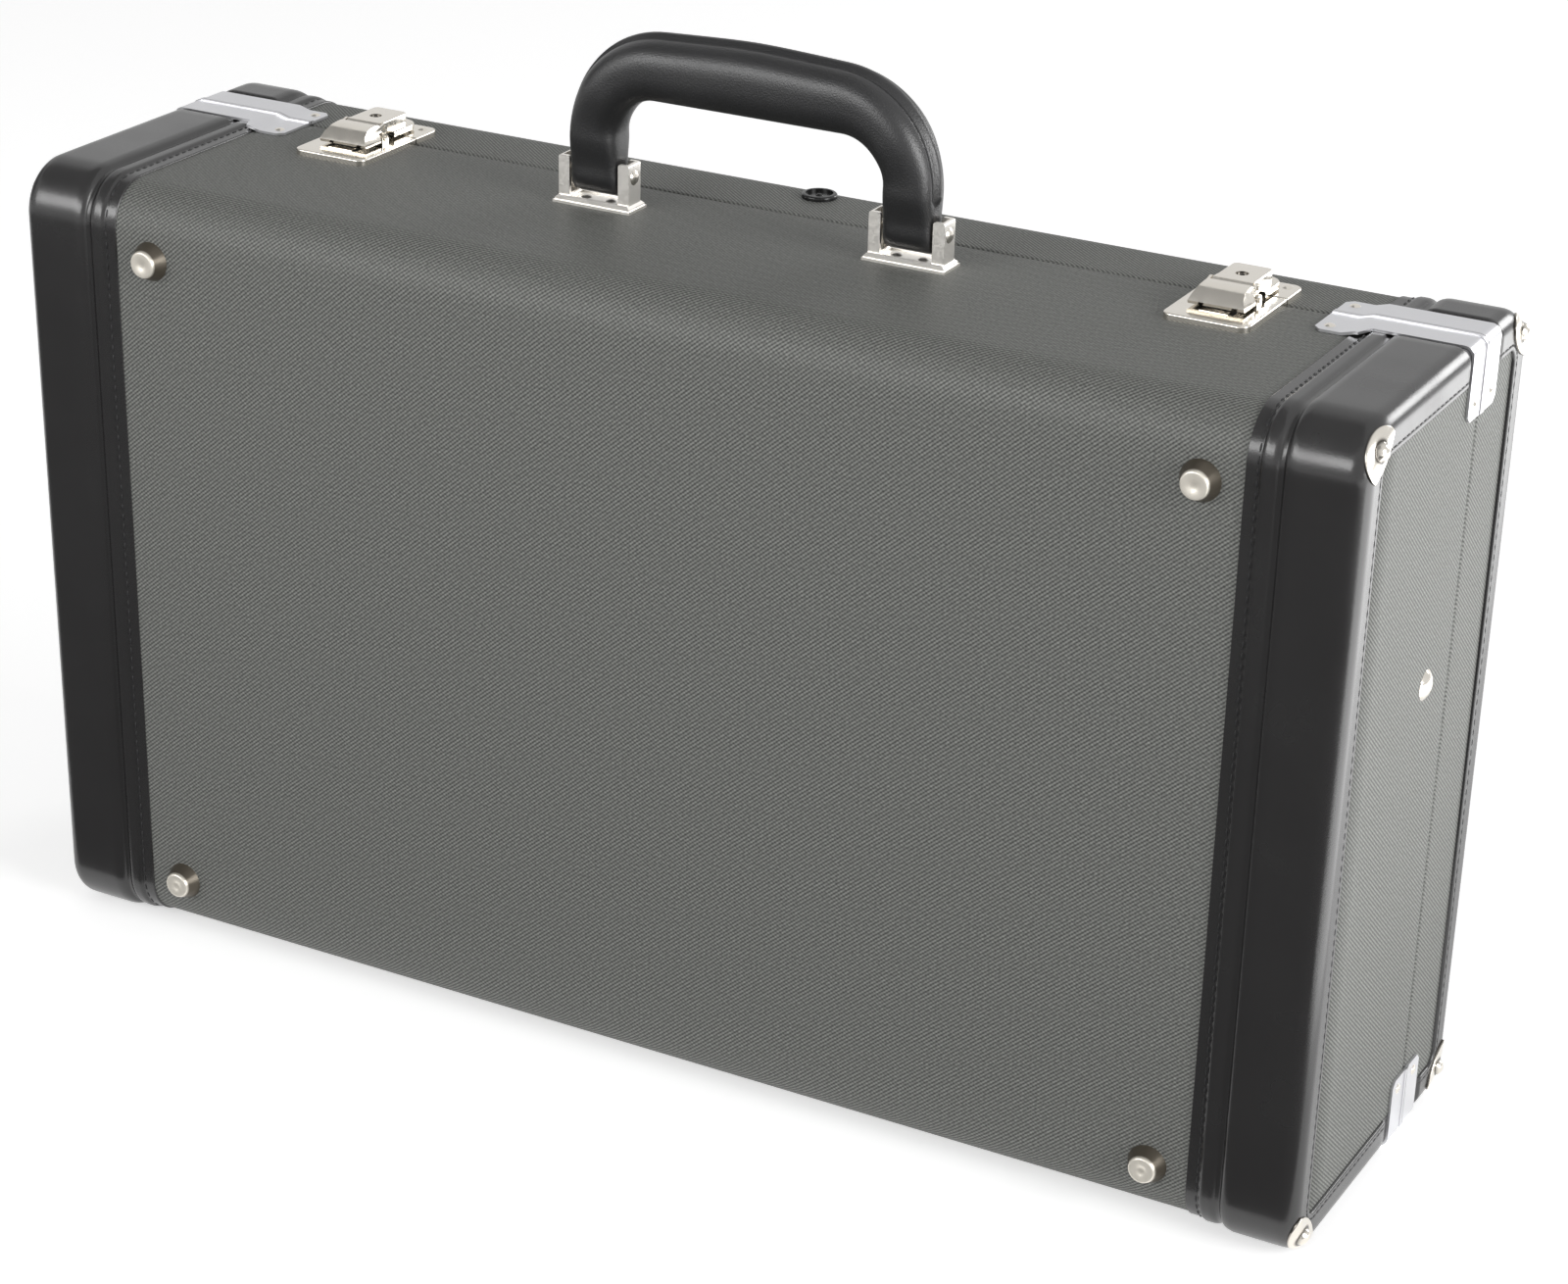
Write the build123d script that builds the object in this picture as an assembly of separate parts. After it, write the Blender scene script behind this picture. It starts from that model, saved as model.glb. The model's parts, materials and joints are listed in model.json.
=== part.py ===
from build123d import *
import math
import os

# Trumpet case, standing on its hinge side with the handle on top.
# X runs along the case, -Y is the face with the four feet, +Y is the lid, Z is up.
# The base half is the deep front half. The lid is the shallow back half.

# Overall sizes, over the woven covering
LENGTH = 560.0
HEIGHT = 320.0
DEPTH = 158.0
BASE_DEPTH = 112.0
EDGE_R = 18.0
SEAM_GAP = 0.4

# Boards and covering
BOARD_T = 6.0
COVER_T = 0.8
END_COVER_T = 0.8
WOOD_FIT = 0.1

# Padded end bands
BAND_W = 44.0
BAND_PAD = 3.0
BAND_PAD_W = 30.5
BAND_STRIP = 1.6
BAND_STRIP_W = 7.9
BAND_TAPE = 0.7
BAND_TURN = 2.0
BAND_END_R = 7.0
BINDING_W = 12.0

# Edge clamps over the seam
CLAMP_T = 1.0
CLAMP_LIFT = 1.5
CLAMP_STRIP_W = 14.5
CLAMP_LOBE_W = 21.0
CLAMP_REACH = 58.0
CLAMP_DROP = 26.0
CLAMP_BEND_R = 3.0
CLAMP_BEAD = 0.4
CLAMP_BEAD_W = 1.6
CLAMP_FIT = 0.15

# Corner caps
CAP_T = 0.8
CAP_L = 22.0
CAP_W = 12.0
CAP_BALL_R = 3.4
CAP_BALL_SINK = 0.9

# Nails and rivets
NAIL_HEAD_R = 2.1
NAIL_HEAD_H = 0.8
NAIL_SHANK_R = 0.8
NAIL_L = 6.0
RIVET_HEAD_R = 2.4
RIVET_HEAD_H = 0.8
RIVET_SHANK_R = 1.3
RIVET_TAIL_H = 0.6
SHANK_FIT = 0.05

# Feet
FOOT_H = 6.0
FOOT_BASE_R = 7.8
FOOT_TIP_R = 5.0
FOOT_FROM_END = 60.0
FOOT_FROM_BOTTOM = 23.0
FOOT_FROM_TOP = 27.0
FOOT_SHANK_R = 1.6
FOOT_SHANK_L = 6.0

# Hinges on the bottom edge
HINGE_X = (-150.0, 0.0, 150.0)
HINGE_L = 40.0
HINGE_LEAF_W = 15.0
HINGE_LEAF_T = 0.8
KNUCKLE_R = 1.7
KNUCKLES = 5
HINGE_PIN_R = 0.8
HINGE_DROP = 1.2
PIN_FIT = 0.05
KNUCKLE_GAP = 0.2
HINGE_BACK = 2.6

# Handle
BRACKET_X = 67.0
HANDLE_FROM_SEAM = 29.0
BRACKET_RIM = 1.5
BRACKET_D = 13.4
BRACKET_T = 2.8
EAR_H = 18.4
EAR_W = 4.8
EAR_T = 1.4
EAR_D = 8.8
PIN_H = 13.0
HANDLE_PIN_R = 2.0
BUSH_R = 3.2
GRIP_RISE = 71.0
GRIP_GAP_H = 45.0
GRIP_GAP_R = 14.0
GRIP_D = 24.0
LEG_D = 20.4
GRIP_ROUND = 9.0
GRIP_CORNER_R = 38.0
GRIP_CROWN = 3.6
GRIP_CROWN_R = 350.0
LUG_W = 20.6
LUG_GAP = 0.5
LUG_D = 16.0
LUG_TOP = 19.0
RIB_R = 1.5

# Draw latches
LATCH_X = 187.5
PLATE_W = 33.4
PLATE_L = 38.0
STRIKE_L = 17.0
PLATE_H = 2.5
SHEET = 1.0
PLATE_CORNER_R = 4.0
PLATE_SEAM_GAP = 0.4
LEVER_PIVOT = (-13.5, 4.7)
CLAW_PIVOT = (-11.0, 8.2)
LEVER_W = 21.8
LEVER_TOP_W = 17.0
LEVER_TOP_H = 10.1
LEVER_FRONT = -27.4
LEVER_REAR = -13.9
ARM_GAP = 0.4
ARM_T = 1.2
LATCH_EAR_GAP = 0.4
LATCH_EAR_T = 1.3
LATCH_PIN_R = 1.0
CLAW_PIN_R = 0.9
BARREL_R = 1.9
CLAW_W = 15.8
CLAW_TOP_END = 8.0
FLANGE_W = 21.0
FLANGE_START = -6.0
FLANGE_END = 13.0
FLANGE_H = 4.4
FLANGE_R = 7.0
CLAW_LIP_H = 3.5
CATCH_S = 8.5
CATCH_W = 1.7
CATCH_L = 11.2
CATCH_CLEAR = 0.3
PLUG_S = -3.6
PLUG_R = 2.4
PLUG_FIT = 0.06

# Inside
SOFT_FIT = 0.9
STAY_ROOM = 6.0
BLOCK_BELOW_SEAM = 10.0
RECESS_FLOOR = 10.0
LID_PAD_T = 11.0
TONGUE_T = 1.5
TONGUE_OUT = 4.0
TONGUE_IN = 4.0
TONGUE_END = 45.0
TONGUE_FIT = 0.4
BELL_AXIS = 168.0
BELL_W = 132.0
RECESS_L = 492.0
RECESS_FROM_END = 16.0
PIPE_W = 40.0
BODY_FROM_BELL = 105.0
BODY_L = 266.0
BODY_W = 140.0
VALVES_FROM_BELL = 250.0
VALVES_L = 88.0
VALVES_W = 196.0
VALVES_BELOW = 36.0
TRAY_RIM = 18.0
TRAY_FLOOR = 18.0
TRAY_R = 8.0
OPEN_TRAY_L = 114.0
OPEN_TRAY_R = 20.0
CUP_LEDGE = 4.0
COVER_BOARD_T = 4.0
COVER_FIT = 0.6
FINGER_HOLE_R = 9.0
MOUTHPIECE_R = 14.5
MOUTHPIECE_TIP_R = 11.0
MOUTHPIECE_L = 60.0
MOUTHPIECE_PITCH = 40.0
MOUTHPIECE_UP = 48.0

# Rivets seen outside
STAY_RIVET_R = 5.9
STAY_RIVET_H = 2.4
STAY_RIVET_FROM_SEAM = 26.0
STAY_RIVET_UP = 198.0
LID_STUD_R = 7.0
LID_STUD_H = 1.8
LID_STUD_CUP_R = 5.4
LID_STUD_FROM_SEAM = 25.0

# Places worked out from the sizes above
FRONT_Y = -(DEPTH + BAND_PAD - FOOT_H) / 2
BACK_Y = FRONT_Y + DEPTH
SEAM_Y = FRONT_Y + BASE_DEPTH
BOTTOM_Z = BAND_PAD
TOP_Z = BOTTOM_Z + HEIGHT
MID_Y = FRONT_Y + DEPTH / 2
MID_Z = BOTTOM_Z + HEIGHT / 2
END_X = LENGTH / 2
BOARD_X = END_X - BAND_TURN
INNER_X = BOARD_X - BOARD_T
WALL = COVER_T + BOARD_T
HINGE_Z = BOTTOM_Z - HINGE_DROP
HANDLE_Y = SEAM_Y - HANDLE_FROM_SEAM
LEVER_Y = SEAM_Y + LEVER_PIVOT[0]
LEVER_Z = TOP_Z + LEVER_PIVOT[1]
CLAW_Y = SEAM_Y + CLAW_PIVOT[0]
EAR_IN = LUG_W / 2 + LUG_GAP
EAR_OUT = EAR_IN + EAR_W
BRACKET_W = 2 * (EAR_OUT + BRACKET_RIM)
GRIP_OUT = BRACKET_X + LUG_W / 2
GRIP_IN = BRACKET_X - LUG_W / 2
ARM_IN = CLAW_W / 2 + ARM_GAP
RECESS_LEFT = -INNER_X + RECESS_FROM_END
AXIS_Z = BOTTOM_Z + BELL_AXIS
CLAW_Z = TOP_Z + CLAW_PIVOT[1]
SIDES = (("left", -1), ("right", 1))
FAR = 400.0


def block(x0, x1, y0, y1, z0, z1):
    """A box between two corners."""
    size = (x1 - x0, y1 - y0, z1 - z0)
    return Pos((x0 + x1) / 2, (y0 + y1) / 2, (z0 + z1) / 2) * Box(*size)


def along_x(sketch, x0, x1):
    """A sketch in (y, z) drawn out from x0 to x1."""
    return extrude(Plane.YZ.offset(x0) * sketch, x1 - x0)


def along_y(sketch, y0, y1):
    """A sketch in (x, z) drawn out from y0 to y1."""
    return extrude(Plane.XZ.offset(-y1) * sketch, y1 - y0)


def along_z(sketch, z0, z1):
    """A sketch in (x, y) drawn out from z0 to z1."""
    return extrude(Plane.XY.offset(z0) * sketch, z1 - z0)


def rod_x(y, z, r, x0, x1):
    """A round bar along X."""
    return along_x(Pos(y, z) * Circle(r), x0, x1)


def prism(offset, x0, x1):
    """The case's rounded section, grown by offset, from x0 to x1."""
    width = DEPTH + 2 * offset
    height = HEIGHT + 2 * offset
    return along_x(Pos(MID_Y, MID_Z) * RectangleRounded(width, height, EDGE_R + offset), x0, x1)


def mirror_x(part):
    return mirror(part, about=Plane.YZ)


def mirror_z(part):
    return mirror(part, about=Plane.XY.offset(MID_Z))


def base_half(part):
    """The part in front of the seam."""
    return part & block(-FAR, FAR, -FAR, SEAM_Y - SEAM_GAP / 2, -FAR, FAR)


def lid_half(part):
    """The part behind the seam."""
    return part & block(-FAR, FAR, SEAM_Y + SEAM_GAP / 2, FAR, -FAR, FAR)


def group(parts):
    """Separate solids of one node."""
    return Compound(children=[solid for part in parts for solid in part.solids()])


# Fasteners are placed by a point on the outside and the way they point in.


def fastener_frame(point, inward):
    return Plane(origin=point, z_dir=tuple(-v for v in inward))


def dome(frame, r, h):
    """A low dome standing on the frame, cut from a sphere."""
    ball_r = (r * r + h * h) / (2 * h)
    cap = Pos(0, 0, h - ball_r) * Sphere(ball_r)
    return frame * (cap & (Pos(0, 0, h / 2) * Box(3 * r, 3 * r, h)))


def nail(point, inward):
    """A dome-headed nail, driven into the board."""
    frame = fastener_frame(point, inward)
    shank = frame * Pos(0, 0, -NAIL_L / 2) * Cylinder(NAIL_SHANK_R, NAIL_L)
    return dome(frame, NAIL_HEAD_R, NAIL_HEAD_H) + shank


def nail_hole(point, inward):
    frame = fastener_frame(point, inward)
    return frame * Pos(0, 0, 1 - NAIL_L / 2) * Cylinder(NAIL_SHANK_R + SHANK_FIT, NAIL_L + 2.2)


def rivet(point, inward, grip):
    """A rivet through the board, with its tail set on the inside."""
    frame = fastener_frame(point, inward)
    shank = frame * Pos(0, 0, -grip / 2) * Cylinder(RIVET_SHANK_R, grip)
    tail = frame * Pos(0, 0, -grip - RIVET_TAIL_H / 2) * Cylinder(RIVET_HEAD_R, RIVET_TAIL_H)
    return dome(frame, RIVET_HEAD_R, RIVET_HEAD_H) + shank + tail


def rivet_hole(point, inward, grip):
    frame = fastener_frame(point, inward)
    return frame * Pos(0, 0, -grip / 2) * Cylinder(RIVET_SHANK_R + SHANK_FIT, grip + 0.02)


# Edge clamps: thin sheet that runs over the band, bends round the end and lies on both faces.


def clamp_profile(lift, thick):
    """The sheet's (x, z) section at the top right corner."""
    inner_x = BOARD_X + END_COVER_T + CLAMP_FIT
    step_x = END_X - BAND_W - 3.0
    top = TOP_Z + lift
    foot = TOP_Z + CLAMP_FIT
    low = TOP_Z - CLAMP_DROP
    inner = [
        (END_X - CLAMP_REACH - 6, foot),
        (step_x, foot),
        (step_x + 5, top),
        (inner_x, top),
        (inner_x, low - 6),
    ]
    outer = [
        (inner_x + thick, low - 6),
        (inner_x + thick, top + thick),
        (step_x + 4.6, top + thick),
        (step_x - 0.4, foot + thick),
        (END_X - CLAMP_REACH - 6, foot + thick),
    ]
    face = make_face(Polyline(*inner, *outer, close=True))
    inner_corner = face.vertices().sort_by_distance((inner_x, top, 0))[0]
    face = fillet(inner_corner, CLAMP_BEND_R)
    outer_corner = face.vertices().sort_by_distance((inner_x + thick, top + thick, 0))[0]
    return fillet(outer_corner, CLAMP_BEND_R + thick)


def clamp_sheet(lift, thick, d0, d1):
    """The bent sheet between two distances from the seam, base side positive."""
    return along_y(clamp_profile(lift, thick), SEAM_Y - d1, SEAM_Y - d0)


def clamp_plan(side):
    """The outline seen from above and from the end, for the base or the lid half."""
    near = PLATE_SEAM_GAP / 2
    lobe = CLAMP_LOBE_W if side > 0 else CLAMP_STRIP_W
    tip_x = END_X - CLAMP_REACH
    neck_x = END_X - BAND_W + 6
    low = TOP_Z - CLAMP_DROP
    strip = CLAMP_STRIP_W
    above = [
        (END_X + 9, near),
        (END_X + 9, strip),
        (neck_x, strip),
        (neck_x - 3, lobe),
        (tip_x + 2.5, lobe),
        (tip_x, lobe - 2.5),
        (tip_x, near),
    ]
    beside = [
        (near, TOP_Z + 9),
        (strip, TOP_Z + 9),
        (strip, low + 2.5),
        (strip - 2.5, low),
        (near, low),
    ]
    above = [(x, SEAM_Y - side * d) for x, d in above]
    beside = [(SEAM_Y - side * d, z) for d, z in beside]
    top_view = along_z(make_face(Polyline(*above, close=True)), TOP_Z - 7, TOP_Z + 9)
    end_view = along_x(make_face(Polyline(*beside, close=True)), BOARD_X - 7, END_X + 9)
    keep_end = block(BOARD_X - 6.5, END_X + 9, -FAR, FAR, 0, TOP_Z + 9)
    keep_top = block(0, END_X + 9, -FAR, FAR, TOP_Z - 6.5, TOP_Z + 9)
    corner = keep_end & keep_top
    flat_end = (end_view & keep_end) - keep_top
    flat_top = (top_view & keep_top) - keep_end
    return (flat_end + flat_top) + (corner & top_view)


def clamp(side):
    """One clamp half at the top right corner, with its bead along the seam."""
    near = PLATE_SEAM_GAP / 2
    ends = sorted((side * near, side * (CLAMP_LOBE_W + 1)))
    sheet = clamp_sheet(CLAMP_LIFT, CLAMP_T, *ends) & clamp_plan(side)
    bead_ends = sorted((side * near, side * (near + CLAMP_BEAD_W)))
    bead = clamp_sheet(CLAMP_LIFT, CLAMP_T + CLAMP_BEAD, *bead_ends) & clamp_plan(side)
    return sheet + bead


def clamp_room(side):
    """What the band gives up so that the clamp lies in it."""
    ends = sorted((0.0, side * (CLAMP_STRIP_W + CLAMP_FIT)))
    y0, y1 = SEAM_Y - ends[1], SEAM_Y - ends[0]
    slab = block(0, END_X + 9, y0, y1, MID_Z, TOP_Z + 9)
    inner_x = BOARD_X + END_COVER_T
    width = 2 * inner_x
    height = HEIGHT + 2 * (CLAMP_LIFT - CLAMP_FIT)
    keep = along_y(Pos(0, MID_Z) * RectangleRounded(width, height, CLAMP_BEND_R), y0 - 1, y1 + 1)
    lobe = block(0, BOARD_X + 9, y0, y1, MID_Z, TOP_Z - CLAMP_DROP - 1)
    wide_ends = sorted((0.0, side * (CLAMP_LOBE_W + CLAMP_FIT)))
    tape = block(
        END_X - BAND_W - 1,
        END_X - BAND_W + 7,
        SEAM_Y - wide_ends[1],
        SEAM_Y - wide_ends[0],
        TOP_Z,
        TOP_Z + 9,
    )
    return (slab - keep - lobe) + tape


def clamp_nail_spots(side):
    """Two nails a half clamp, one on each face."""
    top_y = SEAM_Y - side * (15.5 if side > 0 else 9.5)
    end_y = SEAM_Y - side * 8.5
    top_z = TOP_Z + CLAMP_FIT + CLAMP_T
    end_x = BOARD_X + END_COVER_T + CLAMP_FIT + CLAMP_T
    return [
        ((END_X - CLAMP_REACH + 4.5, top_y, top_z), (0, 0, -1)),
        ((end_x, end_y, TOP_Z - CLAMP_DROP + 5), (-1, 0, 0)),
    ]


def four_corners(spots):
    """Spots given at the top right, repeated at the other corners."""
    result = []
    for (x, y, z), (i, j, k) in spots:
        for sx in (-1, 1):
            for sz in (-1, 1):
                place = (sx * x, y, MID_Z + sz * (z - MID_Z))
                result.append((place, (sx * i, j, sz * k)))
    return result


def at_four_corners(part):
    """A part modelled at the top right, repeated at the other corners."""
    low = mirror_z(part)
    return [part, low, mirror_x(part), mirror_x(low)]


def hinge_cut():
    """Room along the bottom of the seam, so that the proud edges pass as the lid opens."""
    return block(-FAR, FAR, SEAM_Y - HINGE_BACK, SEAM_Y + HINGE_BACK, -FAR, BOTTOM_Z + 0.3)


BASE_NAILS = four_corners(clamp_nail_spots(1))
LID_NAILS = four_corners(clamp_nail_spots(-1))


def drilled(part, spots):
    """Nail holes through a part."""
    for point, inward in spots:
        part = part - nail_hole(point, inward)
    return part


# Boards


def board_tube():
    """The four boards' shared section, before it is cut into boards."""
    return prism(-COVER_T, -BOARD_X, BOARD_X) - prism(-WALL, -FAR, FAR)


def hinge_groove():
    """Room for the knuckles, along each hinge."""
    rods = [
        rod_x(SEAM_Y, HINGE_Z, KNUCKLE_R + 0.3, x - HINGE_L / 2 - 1, x + HINGE_L / 2 + 1)
        for x in HINGE_X
    ]
    return rods[0] + rods[1] + rods[2]


def latch_rivet_spots():
    spots = []
    for _, s in SIDES:
        for u in (-6, 6):
            spots.append((s * LATCH_X + u, SEAM_Y - 6.5, TOP_Z + PLATE_H))
    return spots


def strike_rivet_spots():
    spots = []
    for _, s in SIDES:
        for u in (-11.6, 11.6):
            spots.append((s * LATCH_X + u, SEAM_Y + 12.6, TOP_Z + PLATE_H))
    return spots


def bracket_rivet_spots():
    spots = []
    for _, s in SIDES:
        for u in (-5.5, 5.5):
            spots.append((s * BRACKET_X + u, HANDLE_Y, TOP_Z + BRACKET_T - 0.6))
    return spots


def hinge_rivet_spots(side):
    """Three rivets a leaf, on the base side (1) or the lid side (-1)."""
    y = SEAM_Y - side * (HINGE_LEAF_W - 4.5)
    return [(x + u, y, BOTTOM_Z - HINGE_LEAF_T) for x in HINGE_X for u in (-13, 0, 13)]


DOWN = (0, 0, -1)
UP = (0, 0, 1)
LATCH_GRIP = PLATE_H + WALL
BRACKET_GRIP = BRACKET_T - 0.6 + WALL
HINGE_GRIP = HINGE_LEAF_T + WALL
BASE_RIVETS = [(p, DOWN, LATCH_GRIP) for p in latch_rivet_spots()]
BASE_RIVETS += [(p, DOWN, BRACKET_GRIP) for p in bracket_rivet_spots()]
BASE_RIVETS += [(p, UP, HINGE_GRIP) for p in hinge_rivet_spots(1)]
LID_RIVETS = [(p, DOWN, LATCH_GRIP) for p in strike_rivet_spots()]
LID_RIVETS += [(p, UP, HINGE_GRIP) for p in hinge_rivet_spots(-1)]


def riveted(part, rivets):
    """Rivet holes through a part."""
    for point, inward, grip in rivets:
        part = part - rivet_hole(point, inward, grip)
    return part


def near_top(z):
    return z > MID_Z


def wall_boards(half, rivets, nails):
    """Top wall, bottom wall and face panel of one half. The walls carry the rounded long edges."""
    tube = half(board_tube()) - hinge_groove()
    face_y = (-FAR, FRONT_Y + EDGE_R) if half is base_half else (BACK_Y - EDGE_R, FAR)
    top = tube & block(-FAR, FAR, -FAR, FAR, TOP_Z - EDGE_R, FAR)
    bottom = tube & block(-FAR, FAR, -FAR, FAR, -FAR, BOTTOM_Z + EDGE_R)
    panel = tube & block(-FAR, FAR, *face_y, BOTTOM_Z + EDGE_R, TOP_Z - EDGE_R)
    top_rivets = [r for r in rivets if near_top(r[0][2])]
    low_rivets = [r for r in rivets if not near_top(r[0][2])]
    top_nails = [n for n in nails if near_top(n[0][2])]
    low_nails = [n for n in nails if not near_top(n[0][2])]
    return (
        drilled(riveted(top, top_rivets), top_nails),
        drilled(riveted(bottom, low_rivets), low_nails),
        panel,
    )


def end_wall(half, side, nails):
    """The end board, let in between the others."""
    x0, x1 = sorted((side * INNER_X, side * BOARD_X))
    wall = half(prism(-WALL - WOOD_FIT, x0, x1))
    return drilled(wall, [n for n in nails if n[1][0] * side < 0])


def cover(half, rivets, nails):
    """The woven covering glued round the boards."""
    sheet = half(prism(0, -BOARD_X, BOARD_X) - prism(-COVER_T, -FAR, FAR)) - hinge_groove()
    return drilled(riveted(sheet, rivets), [n for n in nails if n[1][2] != 0])


def end_covers(half, nails):
    """The woven panels inside the bound edges of the ends."""
    panels = []
    for _, side in SIDES:
        x0, x1 = sorted((side * BOARD_X, side * (BOARD_X + END_COVER_T)))
        panel = half(prism(-BINDING_W - 0.2, x0, x1))
        panels.append(drilled(panel, [n for n in nails if n[1][0] * side < 0]))
    return group(panels)


def band_outer():
    """The outside of the padded band at the right end, before the case is taken out of it."""
    groove_x = END_X - BAND_PAD_W
    stitch_x = groove_x - BAND_STRIP_W
    pad = prism(BAND_PAD, groove_x, END_X)
    pad = fillet(pad.faces().sort_by(Axis.X)[-1].edges(), BAND_END_R)
    pad = fillet(pad.faces().sort_by(Axis.X)[0].edges(), 1.2)
    strip = prism(BAND_STRIP, stitch_x, groove_x + 1)
    strip = fillet(strip.faces().sort_by(Axis.X)[0].edges(), 0.6)
    tape = prism(BAND_TAPE, END_X - BAND_W, stitch_x + 1)
    return pad + strip + tape


def band(half, side, nails):
    """The padded band round one end of one half, turned over onto the end face."""
    whole = band_outer() - prism(0, 0, BOARD_X) - prism(-BINDING_W, 0, FAR)
    clamp_side = 1 if half is base_half else -1
    room = clamp_room(clamp_side)
    whole = half(whole) - hinge_cut() - room - mirror_z(room)
    right_nails = [n for n in nails if n[0][0] > 0]
    whole = drilled(whole, right_nails)
    return whole if side > 0 else mirror_x(whole)


def cap(y, out):
    """The top right corner cap of one half: a pointed leaf bent round the corner, with a ball.
    Prongs under the real one hold it. They aren't modelled."""
    whole = prism(BAND_PAD + CAP_T, END_X - 2 * CAP_L, END_X + CAP_T)
    whole = fillet(whole.faces().sort_by(Axis.X)[-1].edges(), BAND_END_R + CAP_T)
    inside = prism(BAND_PAD, END_X - 3 * CAP_L, END_X)
    inside = fillet(inside.faces().sort_by(Axis.X)[-1].edges(), BAND_END_R)
    turn = BAND_END_R * (1 - math.sqrt(0.5)) + CAP_BALL_SINK
    ball_in = EDGE_R - (EDGE_R + BAND_PAD - turn) * math.sqrt(0.5)
    middle = (END_X - turn, y + out * ball_in, TOP_Z - ball_in)
    ball = Pos(*middle) * Sphere(CAP_BALL_R)
    corner = Plane(origin=middle, x_dir=(0, out, 1), z_dir=(math.sqrt(2), -out, 1))
    arc_r = (CAP_L ** 2 + CAP_W ** 2) / (4 * CAP_W)
    leaf = [corner * Pos(0, s * (arc_r - CAP_W / 2), 0) * Cylinder(arc_r, 30) for s in (-1, 1)]
    reach = leaf[0] & leaf[1]
    limits = block(
        0, FAR, FRONT_Y - BAND_PAD, BACK_Y + BAND_PAD, BOTTOM_Z - BAND_PAD, TOP_Z + BAND_PAD
    )
    return (((whole & reach) + ball) - inside) & limits


def foot(x, z):
    """A nickel stud foot: a cone with a dished tip."""
    frame = Plane(origin=(x, FRONT_Y, z), z_dir=(0, -1, 0))
    cone = Pos(0, 0, FOOT_H / 2) * Cone(FOOT_BASE_R, FOOT_TIP_R, FOOT_H)
    cone = fillet(cone.edges().filter_by(GeomType.CIRCLE).sort_by(Axis.Z)[-1], 0.8)
    dish = Pos(0, 0, FOOT_H + 5.4) * Sphere(6.0)
    shank = Pos(0, 0, -FOOT_SHANK_L / 2) * Cylinder(FOOT_SHANK_R, FOOT_SHANK_L)
    return frame * (cone - dish + shank)


def foot_places():
    x = END_X - FOOT_FROM_END
    heights = (BOTTOM_Z + FOOT_FROM_BOTTOM, TOP_Z - FOOT_FROM_TOP)
    return [(side * x, z) for side in (-1, 1) for z in heights]


def foot_holes(part):
    for x, z in foot_places():
        frame = Plane(origin=(x, FRONT_Y, z), z_dir=(0, 1, 0))
        hole = Cylinder(FOOT_SHANK_R + SHANK_FIT, FOOT_SHANK_L + 0.1)
        part = part - frame * Pos(0, 0, FOOT_SHANK_L / 2) * hole
    return part


def hinge_leaf(x, side):
    """One leaf and its knuckles. The base side (1) has the outer knuckles."""
    pitch = HINGE_L / KNUCKLES
    sign = -1 if side > 0 else 1
    reach = KNUCKLE_R + 0.5
    y0, y1 = sorted((SEAM_Y + sign * reach, SEAM_Y + sign * HINGE_LEAF_W))
    leaf = block(x - HINGE_L / 2, x + HINGE_L / 2, y0, y1, BOTTOM_Z - HINGE_LEAF_T, BOTTOM_Z)
    own = range(0, KNUCKLES, 2) if side > 0 else range(1, KNUCKLES, 2)
    bore_fit = PIN_FIT
    for n in own:
        a = x - HINGE_L / 2 + n * pitch + KNUCKLE_GAP / 2
        b = a + pitch - KNUCKLE_GAP
        wing_y = sorted((SEAM_Y, SEAM_Y + sign * (reach + 0.1)))
        wing = block(a, b, *wing_y, BOTTOM_Z - HINGE_LEAF_T, BOTTOM_Z)
        leaf += rod_x(SEAM_Y, HINGE_Z, KNUCKLE_R, a, b) + wing
    bore = rod_x(SEAM_Y, HINGE_Z, HINGE_PIN_R + bore_fit, x - HINGE_L, x + HINGE_L)
    return leaf - bore


def hinge_leaves(side, rivets):
    leaves = []
    for x in HINGE_X:
        leaves.append(riveted(hinge_leaf(x, side), [r for r in rivets if r[1] == UP]))
    return group(leaves)


def hinge_pins():
    return group(
        [rod_x(SEAM_Y, HINGE_Z, HINGE_PIN_R, x - HINGE_L / 2, x + HINGE_L / 2) for x in HINGE_X]
    )


# Handle


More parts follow.
